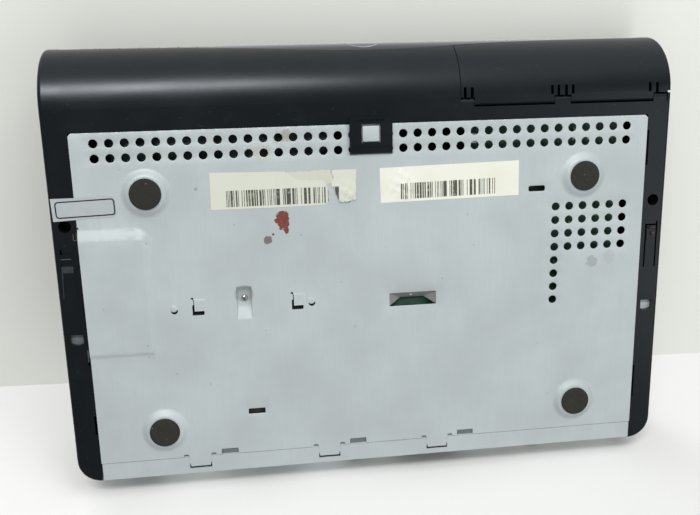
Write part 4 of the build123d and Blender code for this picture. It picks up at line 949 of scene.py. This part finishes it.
def plate_outline():
    """The plate's outline, with its tongues, reliefs and notches at the rear seam."""
    points = [(-HALF, FRONT_EDGE + 1.5), (-HALF + 1.5, FRONT_EDGE), (HALF - 1.5, FRONT_EDGE),
              (HALF, FRONT_EDGE + 1.5), (HALF, SEAM)]
    half = [(10.1, SEAM), (9.6, SEAM - 1.6), (7.1, SEAM - 1.6), (6.66, SEAM - 0.2), (6.66, TONGUE_END - 2.0),
            (6.2, TONGUE_END - 1.8), (6.2, TONGUE_END - 0.5), (5.7, TONGUE_END)]
    for x in sorted(TABS, reverse=True):
        points += [(x + 23.5, SEAM), (x + 23.3, SEAM - 3.6), (x + 13.1, SEAM - 3.6), (x + 12.9, SEAM)]
        points += [(x + out, d) for out, d in half] + [(x - out, d) for out, d in half[::-1]]
    return split_loop(points + [(-HALF, SEAM)], OUTLINE_STEP)


def proud_by(x, d, sheet):
    """How far the outer face stands out of the plate at a point; inwards is negative."""
    out = 0.0
    base, flat = sheet.foot_base / MM, sheet.foot_flat / MM
    for fx, fd in FOOT_PLACES:
        r = math.hypot(x - fx, d - fd)
        if r < base:
            out = max(out, sheet.foot_height / MM * soft_step((base - r) / (base - flat)))
    left, right, front, back = FIELD
    if x < right + 1 and front - 1 < d < back + 1:
        corner = math.hypot(max(0.0, x - right + FIELD_ROUND), max(0.0, front + FIELD_ROUND - d))
        side = (FIELD_ROUND - corner) / 4.2 if corner > 2.0 else 2.0
        rise = min(soft_step(side), min(1.0, max(0.0, (d - front) / FIELD_RAMP)),
                   soft_step((back - d) / FIELD_BACK))
        rise *= FIELD_START - FIELD_FALL * (d - front) / (back - front)
        out = max(out, sheet.field_height / MM * rise)
    left, right, front, back = POCKET
    if left < x < right and front < d < back:
        out -= POCKET_SINK * min(soft_step((x - left) / 0.45), soft_step((right - x) / 0.45),
                                 min(1.0, (d - front) / 3.2), min(1.0, (back - d) / 8.0))
    if d < FRONT_BEND:
        out -= BEND_DEEP * (1 - math.sqrt(max(0.0, 1 - ((FRONT_BEND - d) / BEND_WIDE) ** 2)))
    return out + tab_lift(x, d)


def detail_points(sheet):
    """Loose points where the sheet bends."""
    points = []
    for fx, fd in FOOT_PLACES:
        base, flat = sheet.foot_base / MM, sheet.foot_flat / MM
        for ring in range(10):
            points += circle(fx, fd, flat + (base - flat) * ring / 8, 44, ring * 0.07)
        points += circle(fx, fd, 5.0, 16) + [(fx, fd)]
    left, right, front, back = FIELD
    for step in range(8):
        x = right - 4.4 * step / 7
        points += [(x, front + 6.2 + 4.0 * i) for i in range(int((back - front - 8) / 4.0))]
        d = front + (FIELD_RAMP + 0.2) * step / 7
        points += [(left + 1.2 + 3.5 * i, d) for i in range(int((right - left - 8) / 3.5))]
    points += [(right - 0.1 - 0.8 * i, front + 0.1 + 0.75 * j) for i in range(10) for j in range(12)]
    for step in range(7):
        points += [(left + 1.2 + 3.5 * i, back - 3.7 * step / 6) for i in range(int((right - left) / 3.5))]
    left, right, front, back = POCKET
    rows = [front - 0.5, *(front + (back - front) * j / 21 for j in range(22)), back + 0.5]
    for offset in (-0.5, 0.0, 0.15, 0.3, 0.45, 4.5, 8.55, 8.7, 8.85, 9.0, 9.5):
        points += [(left + offset, d) for d in rows]
    for x in LANCES:
        points += [(x - 0.6 + 0.45 * i, 143.2 + 0.45 * j) for i in range(21) for j in range(18)]
    for x, d in LUGS:
        for ring in range(1, 7):
            points += circle(x + LUG_SHIFT[0], d + LUG_SHIFT[1], 0.4 * ring, 18, ring * 0.3)
    for d in (45.85, 46.05, 46.3, FRONT_BEND):
        points += [(-165.8 + 7.9 * i, d) for i in range(43)]
    return points + [(-163.7 + LOOSE_STEP[0] * i, 49.3 + LOOSE_STEP[1] * j) for i in range(40) for j in range(24)]


def press_plate(sheet):
    """The base plate's outer sheet, as one pressed surface with a thickness."""
    round_holes = [circle(x, d, sheet.vent_radius / MM, sheet.vent_segments) for x, d in vent_places(sheet)]
    round_holes += [rectangle(*window) for window in WINDOWS]
    holes = round_holes + [lance(x) for x in LANCES] + [crescent(x, d) for x, d in LUGS]
    loose = detail_points(sheet) + [p for hole in round_holes for p in offset_loop(hole, RIM_RING)]
    spots, faces = cut_sheet(plate_outline(), holes, loose)
    if len(faces) < FEWEST_FACES:
        raise RuntimeError("the base plate's sheet came out with too few faces")
    rims = {(round(x, 2), round(d, 2)) for hole in round_holes for x, d in hole}
    points = [place(x, d, PLATE - proud_by(x, d, sheet) + (RIM_DRAW if (round(x, 2), round(d, 2)) in rims else 0))
              for x, d in spots]
    plate = make_piece("base_plate", points, [face[::-1] for face in faces], ["Base_Plate_Steel"],
                       slot="sheet_steel", sharp=35, mend=False)
    thicken(plate, sheet.thickness)
    return plate


def fold_walls():
    """The tray's bent front, side walls, ears, window hood, and dark steel strips behind the seam's gaps that are
    painted shade there.
    """
    steel, dull, shaded = range(3)
    walls = Build()
    low, high = PLATE, PLATE + SHEET
    walls.box(-166.0, 166.0, FRONT_EDGE, FRONT_EDGE + SHEET, low + 0.6, high + 5, 0.1)
    for side in (-1, 1):
        x0, x1 = sorted((side * HALF, side * (HALF - SHEET)))
        walls.box(x0, x1, 47.4, SEAM - 0.3, low + 0.1, 14.0, 0.2)
        for d0, d1, z in EARS:
            walls.box(x0, x1, d0, d1, 13.0 if z > 14 else low + 0.5, z + SHEET, 0.15)
            e0, e1 = sorted((side * (HALF - SHEET - 0.5), side * 178.6))
            # the left small ear's flap is dark steel: painted shade on what shows through the gap beside it
            walls.box(e0, e1, d0, d1, z, z + SHEET, 0.2, dull if side < 0 and z < 14 else steel)
    # the side wall follows the raised field
    left, _, front, back = FIELD
    side_view = [(front + 0.6, 4.3), (front + FIELD_RAMP + 0.4, 2.75), (back - FIELD_BACK, 3.3), (back - 0.4, 4.3)]
    corners = [place(x, d, z) for x in (left, left + 0.7) for d, z in side_view]
    walls.add(corners, [(0, 1, 2, 3), (7, 6, 5, 4), (0, 4, 5, 1), (1, 5, 6, 2), (2, 6, 7, 3), (3, 7, 4, 0)])
    # the long window's edges are pressed inwards at its front and its ends, like a hood
    rim = [(9.7, 147.1, 4.7), (38.6, 147.1, 4.7), (38.6, 155.5, 4.7), (HOOD[1], HOOD[2], HOOD[3]),
           (HOOD[0], HOOD[2], HOOD[3]), (9.7, 155.5, 4.7)]
    hood = [(0, 4, 5), (0, 1, 3, 4), (1, 2, 3)]
    hood += [tuple(i + 6 for i in face[::-1]) for face in hood]
    hood += [(5, 4, 10, 11), (4, 3, 9, 10), (3, 2, 8, 9), (0, 5, 11, 6), (1, 0, 6, 7), (2, 1, 7, 8)]
    walls.add([place(x, d, z) for x, d, z in rim] + [place(x, d - 0.1, z + SHEET) for x, d, z in rim], hood, shaded)
    # dark steel strips behind the gaps at the seam: painted shade
    for x in TABS:
        walls.box(x + 12.2, x + 24.2, SEAM - 4.2, SEAM - 0.2, 4.82, 4.88, pick=dull)
        walls.box(x - 10.6, x + 10.6, SEAM - 2.2, SEAM - 0.2, 4.82, 4.88, pick=dull)
    walls.box(-4.9, 4.9, 46.6, 55.7, 2.5, 4.3, 0.6)
    return walls.piece("base_walls", ["Galvanised_Steel", "Painted_Shade_Steel", "Shaded_Steel"], "sheet_steel")


class RECEIVER_OT_plate(bpy.types.Operator):
    """Press the base plate with its vents, feet, raised field and lances, and fold its walls"""
    bl_idname = "receiver.plate"
    bl_label = "Base Plate"

    def execute(self, context):
        plate = press_plate(context.scene.receiver_sheet)
        folded = fold_walls()
        # black foam boxes behind the slot, the lances and the lugs: painted shade that shows through them
        shade_backing = Build()
        for x0, x1, d0, d1 in SHADE_BACKINGS:
            shade_backing.box(x0, x1, d0, d1, 5.6, 7.5, 0.3)
        shade_backing.piece("painted_shade_backing", ["Painted_Shade_Black"], "rubber")
        film = Build()
        film.box(-152.0, -22.0, 48.6, 64.0, 9.0, 9.3, 0.05)
        film.piece("insulating_film", ["Insulating_Film"], "socket_plastic")
        stud = Build()
        stud.lathe([(0.0, 0.0), (0.0007, 0.0002), (0.0011, 0.0008), (0.0012, 0.0024), (0.0, 0.0024)],
                   place(*STUD), (0, 0, 1), 24)
        stud.piece("solder_stud", ["Solder"], "screw_steel")
        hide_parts("base_tray")
        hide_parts("base_tray")
        dress("Galvanised_Steel", "rear_panel")
        return {"FINISHED"}


class RECEIVER_OT_pads(bpy.types.Operator):
    """Stick a rubber pad on each foot"""
    bl_idname = "receiver.pads"
    bl_label = "Foot Pads"

    def execute(self, context):
        pads = Build()
        for low, high in islands("foot_pads"):
            radius, thick = (high.x - low.x) / 2, high.z - low.z
            middle = Vector(((low.x + high.x) / 2, (low.y + high.y) / 2, high.z))
            pads.lathe([(0.0, 0.0), (radius - 0.0002, 0.0), (radius, 0.00015), (radius, thick - 0.0004),
                        (radius - 0.00015, thick - 0.00012), (radius - 0.0005, thick), (radius * 0.6, thick),
                        (0.0, thick - 0.00002)], middle, (0, 0, -1), 48)
        made = pads.piece("rubber_pads", ["Pad_Rubber"], "rubber")
        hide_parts("foot_pads")
        return {"FINISHED"}


# ------------------------------------------------------------------ labels, in millimetres
BAR_WIDTH = 0.00042                         # of the thinnest printed bar, in metres
BAR_SHARE = 0.56
LABEL_GRID = 1.0
PAPER, RESIDUE = 0.00009, 0.00006           # thicknesses, in metres


def torn_edge(start, end, steps, depth, seed, ends=True):
    """Points from start to end that wander to either side."""
    pick = random.Random(seed)
    points = []
    sx, sd = end[0] - start[0], end[1] - start[1]
    size = math.hypot(sx, sd)
    for step in range(0 if ends else 1, steps + (1 if ends else 0)):
        t = step / steps
        off = depth * pick.uniform(-1, 1) * min(1.0, 6 * t * (1 - t) + 0.1)
        points.append((start[0] + sx * t - sd / size * off, start[1] + sd * t + sx / size * off))
    return points


def ripple(x, d, cx, cd, reach, tall, seed):
    """Height of a crumpled spot round (cx, cd), fading at reach."""
    far = math.hypot(x - cx, d - cd) / reach
    if far >= 1:
        return 0.0
    fold = abs(math.sin(0.62 * x + 0.3 * d + seed)) * 0.6 + abs(math.sin(0.55 * d - 0.3 * x + seed * 2)) * 0.4
    return tall * fold * (1 - far) ** 1.2


def make_label(name, outline, finish, lift, crumple=None, thickness=PAPER):
    """A thin sheet stuck on the plate: lift is the height of its face off the plate, crumple a ripple's values."""
    def steps(values):
        value, end = min(values) + 1.1, max(values)
        while value < end:
            yield value
            value += LABEL_GRID

    loose = [(x, d) for x in steps([p[0] for p in outline]) for d in steps([p[1] for p in outline])
             if inside((x, d), outline)]
    spots, faces = cut_sheet(outline, [], loose)
    points = [place(x, d, PLATE - lift - (ripple(x, d, *crumple) if crumple else 0.0)) for x, d in spots]
    thicken(make_piece(name, points, [f[::-1] for f in faces], [finish], sharp=50, mend=False), thickness)


class RECEIVER_OT_labels(bpy.types.Operator):
    """Stick the two paper labels and the film sticker on"""
    bl_idname = "receiver.labels"
    bl_label = "Labels and Sticker"

    def execute(self, context):
        # the left label: its top layer is peeled off towards the right, and a piece is torn out at the rear edge
        outline = [(-92.8, 70.0), (-50.6, 71.0)]
        outline += torn_edge((-50.6, 71.1), (-44.6, 75.6), 8, 0.25, 4, ends=False)
        outline += torn_edge((-44.6, 75.6), (-27.4, 77.2), 16, 0.35, 5)
        outline += torn_edge((-27.4, 77.2), (-25.2, 84.0), 8, 0.3, 6, ends=False)
        outline += [(-25.2, 84.0), (-25.0, 87.5), (-25.6, 89.8), (-27.4, 91.1), (-30.0, 91.4), (-60.0, 91.6),
                    (-93.2, 91.5)]
        make_label("label_left", outline, "Label_One_Paper", 0.16, (-40.0, 74.5, 9.0, 0.2, 1.0))
        outline = torn_edge((-52.0, 71.6), (-24.0, 71.0), 30, 0.45, 11)
        outline += torn_edge((-24.0, 71.0), (-22.6, 78.8), 9, 0.5, 12, ends=False)
        outline += torn_edge((-22.6, 78.8), (-27.0, 79.4), 5, 0.4, 13)
        outline += [(-45.0, 77.5), (-52.0, 75.0)]
        make_label("label_residue", outline, "Label_Residue", 0.09, (-26.0, 75.0, 7.0, 0.25, 1.0), RESIDUE)
        outline = [(-22.6, 71.1), (-8.8, 71.2), (-9.3, 88.5)]
        outline += torn_edge((-9.4, 88.9), (-12.6, 89.2), 5, 0.7, 9)
        outline += torn_edge((-13.0, 89.4), (-18.6, 89.9), 8, 0.8, 7)
        outline += torn_edge((-19.2, 89.0), (-22.2, 81.6), 8, 0.35, 8)
        outline += [(-23.4, 80.6), (-23.6, 78.0), (-22.0, 75.4), (-23.2, 73.2)]
        make_label("label_left_end", outline, "Label_One_Paper", 0.18, (-15.0, 86.5, 11.0, 1.9, 2.0))
        outline = [(4.9, 71.2), (46.0, 70.5), (88.7, 69.8), (89.0, 90.6), (46.0, 91.2), (5.3, 91.8)]
        make_label("label_right", outline, "Label_Two_Paper", 0.12, (18.0, 81.0, 11.0, 2.0, 0.0))
        # the sticker bridges the plate and the plastic strip beside it
        outline = [(-181.0, 81.2), (-163.0, 81.2), (-147.8, 80.9), (-146.0, 82.4), (-145.9, 91.4), (-147.4, 92.9),
                   (-163.0, 93.4), (-180.5, 94.2)]
        make_label("sticker", outline, "Sticker_Film", 0.2)
        middle, tilt = Vector((-163.3, 87.8)), Matrix.Rotation(-0.028, 2)
        loops = [[tuple(tilt @ (Vector(p) - middle) + middle) for p in rectangle(*sides, 6)]
                 for sides in ((-178.9, -146.2, 82.6, 92.2, 2.0), (-178.2, -146.9, 83.3, 91.5, 1.4))]
        spots, faces = cut_sheet(loops[0], loops[1:])
        points = [place(x, d, PLATE - 0.25) for x, d in spots]
        make_piece("sticker_outline", points, [f[::-1] for f in faces], ["Sticker_Ink"], mend=False)
        return {"FINISHED"}


# ------------------------------------------------------------------ cover, front and the rest
class RECEIVER_OT_cover(bpy.types.Operator):
    """Finish the cover and the flap"""
    bl_idname = "receiver.cover"
    bl_label = "Cover and Flap"

    def execute(self, context):
        dress("Grained_Plastic", "top_cover", "card_flap")
        return {"FINISHED"}


class RECEIVER_OT_strips(bpy.types.Operator):
    """Fill and mark the snap fingers of the cover's under-strips; a pale bar is a painted highlight and a black box
    is painted shade in a gap
    """
    bl_idname = "receiver.strips"
    bl_label = "Under-strips"

    def execute(self, context):
        grained, gloss = range(2)
        filler = Build()
        for x0, x1, d0, d1 in ((-171.9, -170.9, 113.4, 139.7), (-178.9, -177.9, 110.6, 139.7),
                               (-178.9, -170.9, 112.4, 113.4), (-178.9, -177.9, 110.6, 112.4)):
            filler.box(x0, x1, d0, d1, 4.62, 6.4, pick=grained)
        filler.box(172.1, 177.6, 113.9, 115.3, 4.1, 4.6, 0.25, gloss)
        filler.box(172.1, 172.9, 116.4, 122.5, 4.2, 4.6, 0.2, gloss)
        filler.box(174.2, 177.3, 117.2, 119.6, 4.25, 4.6, 0.15, gloss)
        filler.piece("strip_fingers", ["Grained_Plastic", "Gloss_Plastic"], "black_plastic")
        worn, dark, pale = range(3)
        marks = Build()
        # a pale bar on the left finger: painted highlight on the edge of its step
        marks.box(-179.0, -173.2, 115.9, 116.4, 4.3, 4.5, 0.1, pale)
        for x0, x1, d0, d1 in ((-170.9, -170.4, 101.8, 105.6), (-169.1, -168.6, 100.8, 105.2),
                               (-170.9, -168.6, 105.2, 105.7), (-169.6, -168.9, 171.2, 178.4)):
            marks.box(x0, x1, d0, d1, 4.15, 5.0, 0.1, pale)
        # a mid-grey patch on the left finger
        rubbed = ((-179.5, 139.0), (-179.2, 139.0), (-178.4, 124.1), (-172.6, 124.3), (-172.3, 120.5),
                  (-179.0, 120.2))
        marks.add([place(x, d, 4.36) for x, d in rubbed], [range(6)], worn)
        # a black box between the plate's edge and the strip: painted shade in the gap
        marks.box(-168.0, -167.3, 98.0, 102.2, 3.96, 4.4, pick=dark)
        marks.piece("strip_marks", ["Grey_Patch_Mark", "Painted_Shade_Black", "Pale_Mark_And_Highlight"], "black_plastic", mend=False)
        return {"FINISHED"}


class RECEIVER_OT_front(bpy.types.Operator):
    """Finish the gloss band, the keys and the ring of light"""
    bl_idname = "receiver.front"
    bl_label = "Front Band and Keys"

    def execute(self, context):
        dress("Gloss_Plastic", *GLOSS_NODES)
        dress("Smoked_Clear_Plastic", "status_ring")
        return {"FINISHED"}


def thread(build, origin, axis, radius, length, pitch, depth, segments=40):
    """A threaded barrel: rings whose radius follows a helix."""
    steps = int(length / pitch * 8)
    profile = [(0.0, 0.0), (radius - depth, 0.0)]
    profile += [(radius, length * (i + 0.5) / steps) for i in range(steps)]

    def shape(angle, r, h):
        if r < radius - depth * 0.5:
            return r, h
        phase = (h / pitch + angle / (2 * math.pi)) % 1.0
        return radius - depth * abs(2 * phase - 1) ** 1.3, h

    build.lathe(profile, origin, axis, segments, shape=shape)


class RECEIVER_OT_sockets(bpy.types.Operator):
    """Cut the threads of the aerial sockets and finish the rest"""
    bl_idname = "receiver.sockets"
    bl_label = "Sockets"

    def execute(self, context):
        metal, white = range(2)
        rearward = (0, 1, 0)
        build = Build()
        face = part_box("rear_panel")[1].y
        for low, high in islands("lnb_sockets"):
            x, z = (low.x + high.x) / 2, (low.z + high.z) / 2
            nut, start, end = (Vector((x, y, z)) for y in (face - 0.0008, face + 0.0012, high.y))
            build.lathe([(0.0, 0.0), (0.0052, 0.0), (0.0055, 0.0003), (0.0055, 0.0019), (0.0052, 0.0022),
                         (0.0046, 0.0022)], nut, rearward, 6, metal)
            thread(build, start, rearward, 0.0047, high.y - face - 0.0018, 0.000794, 0.00035)
            build.lathe([(0.0043, -0.0007), (0.0042, -0.0001), (0.0039, 0.0), (0.0025, 0.0), (0.0022, -0.0003),
                         (0.0022, -0.0069), (0.0, -0.007)], end, rearward, 40, metal)
            build.lathe([(0.0021, -0.0012), (0.0012, -0.0012), (0.0006, -0.0022), (0.0, -0.0022)], end, rearward,
                        24, white)
        made = build.piece("aerial_sockets", ["Nickel_Plate", "Phono_White"], "socket_metal")
        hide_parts("lnb_sockets")
        dress("Nickel_Plate", "rf_sockets", "hdmi_socket", "rear_usb_socket", "network_socket", "front_usb_socket")
        dress("Tinned_Steel", "tuner_can")
        dress("Socket_Plastic", "scart_sockets", "phono_sockets", "optical_socket", "phone_socket", "mains_inlet",
              "card_reader", "key_switches", "fan_housing", "fan_rotor")
        return {"FINISHED"}


HEAD_TALL, HEAD_RADIUS, SHANK_RADIUS = 0.0018, 0.0028, 0.00145
RECESS_RADIUS, RECESS_DEEP, RECESS_SLOT = 0.0017, 0.0011, 0.00036
SCREW_NODES = (("rear_screws", (0, 1, 0), "Zinc_Plate"), ("cover_screws", (0, 0, -1), "Black_Zinc"),
               ("board_screws", (0, 0, 1), "Zinc_Plate"), ("power_screws", (0, 0, 1), "Zinc_Plate"),
               ("fan_screws", (0, 1, 0), "Zinc_Plate"))


def screw_form(build, low, high, axis):
    """A pan-head screw with a cross recess in the place of one packed screw; axis points to its head."""
    axis = Vector(axis)
    reach = abs((high - low).dot(axis)) / 2
    seat = (low + high) / 2 + axis * (reach - HEAD_TALL)

    def recess(angle, r, h):
        if r > RECESS_RADIUS or h < HEAD_TALL * 0.7:
            return r, h
        x, y = abs(r * math.cos(angle)), abs(r * math.sin(angle))
        slot = min(x, y) < RECESS_SLOT * (1.0 - 0.25 * r / RECESS_RADIUS)
        return r, h - (RECESS_DEEP * (1.0 - 0.5 * r / RECESS_RADIUS) if slot else 0.0)

    profile = [(0.0, 0.0), (HEAD_RADIUS - 0.0001, 0.0), (HEAD_RADIUS, 0.0002), (HEAD_RADIUS, HEAD_TALL * 0.45),
               (HEAD_RADIUS * 0.93, HEAD_TALL * 0.78), (HEAD_RADIUS * 0.8, HEAD_TALL * 0.93)]
    profile += [(0.00172 - i * 0.0002, HEAD_TALL * (1.0 - 0.02 * max(0, 3 - i))) for i in range(8)]
    profile += [(0.0, HEAD_TALL - RECESS_DEEP)]
    build.lathe(profile, seat, axis, 32, shape=recess)
    thread(build, seat, -axis, SHANK_RADIUS, 2 * reach - HEAD_TALL, 0.0007, 0.00018, 12)


class RECEIVER_OT_screws(bpy.types.Operator):
    """Turn every packed screw into a pan-head screw with a cross recess"""
    bl_idname = "receiver.screws"
    bl_label = "Screws"

    def execute(self, context):
        for node, axis, plating in SCREW_NODES:
            build = Build()
            for low, high in islands(node):
                screw_form(build, low, high, axis)
            made = build.piece(node.replace("screws", "pan_screws"), [plating], "screw_steel")
            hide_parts(node)
        low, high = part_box("cradle_rivet")
        tall = high.z - low.z
        rivet = Build()
        rivet.lathe([(0.0, 0.0), (0.0006, 0.00006), (0.0011, 0.00022), (0.0016, 0.00055), (0.0020, 0.001),
                     (0.0021, 0.0014), (0.0012, 0.0014), (0.0012, tall), (0.0, tall)],
                    Vector(((low.x + high.x) / 2, (low.y + high.y) / 2, low.z)), (0, 0, 1), 32)
        made = rivet.piece("domed_rivet", ["Nickel_Plate"], "screw_steel")
        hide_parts("cradle_rivet")
        dress("Zinc_Plate", "drive_screws", "board_pillars", "power_pillars")
        return {"FINISHED"}


class RECEIVER_OT_inside(bpy.types.Operator):
    """Finish the boards, the power supply, the drive and the fan"""
    bl_idname = "receiver.inside"
    bl_label = "Boards, Drive and Fan"

    def execute(self, context):
        dress("Board_Green", "main_board", "power_board", "front_board")
        dress("Chip_Epoxy", "processor", "memory_chips")
        dress("Can_Sleeve", "board_capacitors", "power_capacitors")
        dress("Winding_Tape", "transformer")
        dress("Mill_Aluminium", "processor_heatsink", "power_heatsinks", "hard_drive")
        dress("Galvanised_Steel", "drive_cradle")
        return {"FINISHED"}


class RECEIVER_PT_panel(bpy.types.Panel):
    """Lists the receiver's pieces and settings"""
    bl_idname = "RECEIVER_PT_panel"
    bl_label = "Satellite Receiver"
    bl_space_type = "VIEW_3D"
    bl_region_type = "UI"
    bl_category = "Receiver"

    def draw(self, context):
        layout = self.layout
        for operator in PIECE_OPERATORS:
            layout.operator(operator.bl_idname)
        for group in (context.scene.receiver_sheet, context.scene.receiver_finish, context.scene.receiver_stage):
            box = layout.box()
            for key in group.__annotations__:
                box.prop(group, key)


PIECE_OPERATORS = (RECEIVER_OT_stage, RECEIVER_OT_plate, RECEIVER_OT_pads, RECEIVER_OT_labels, RECEIVER_OT_cover,
                   RECEIVER_OT_strips, RECEIVER_OT_front, RECEIVER_OT_sockets, RECEIVER_OT_screws, RECEIVER_OT_inside)
SETTINGS = (ReceiverSheetSettings, ReceiverFinishSettings, ReceiverStageSettings)


def register():
    for kind in (*SETTINGS, *PIECE_OPERATORS, RECEIVER_PT_panel):
        bpy.utils.register_class(kind)
    bpy.types.Scene.receiver_sheet = PointerProperty(type=ReceiverSheetSettings)
    bpy.types.Scene.receiver_finish = PointerProperty(type=ReceiverFinishSettings)
    bpy.types.Scene.receiver_stage = PointerProperty(type=ReceiverStageSettings)


def unregister():
    del bpy.types.Scene.receiver_stage
    del bpy.types.Scene.receiver_finish
    del bpy.types.Scene.receiver_sheet
    for kind in (RECEIVER_PT_panel, *reversed(PIECE_OPERATORS), *reversed(SETTINGS)):
        bpy.utils.unregister_class(kind)


def main():
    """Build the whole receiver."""
    register()
    build_finishes()
    for operator in PIECE_OPERATORS:
        area, name = operator.bl_idname.split(".")
        getattr(getattr(bpy.ops, area), name)()


if __name__ == "__main__":
    main()
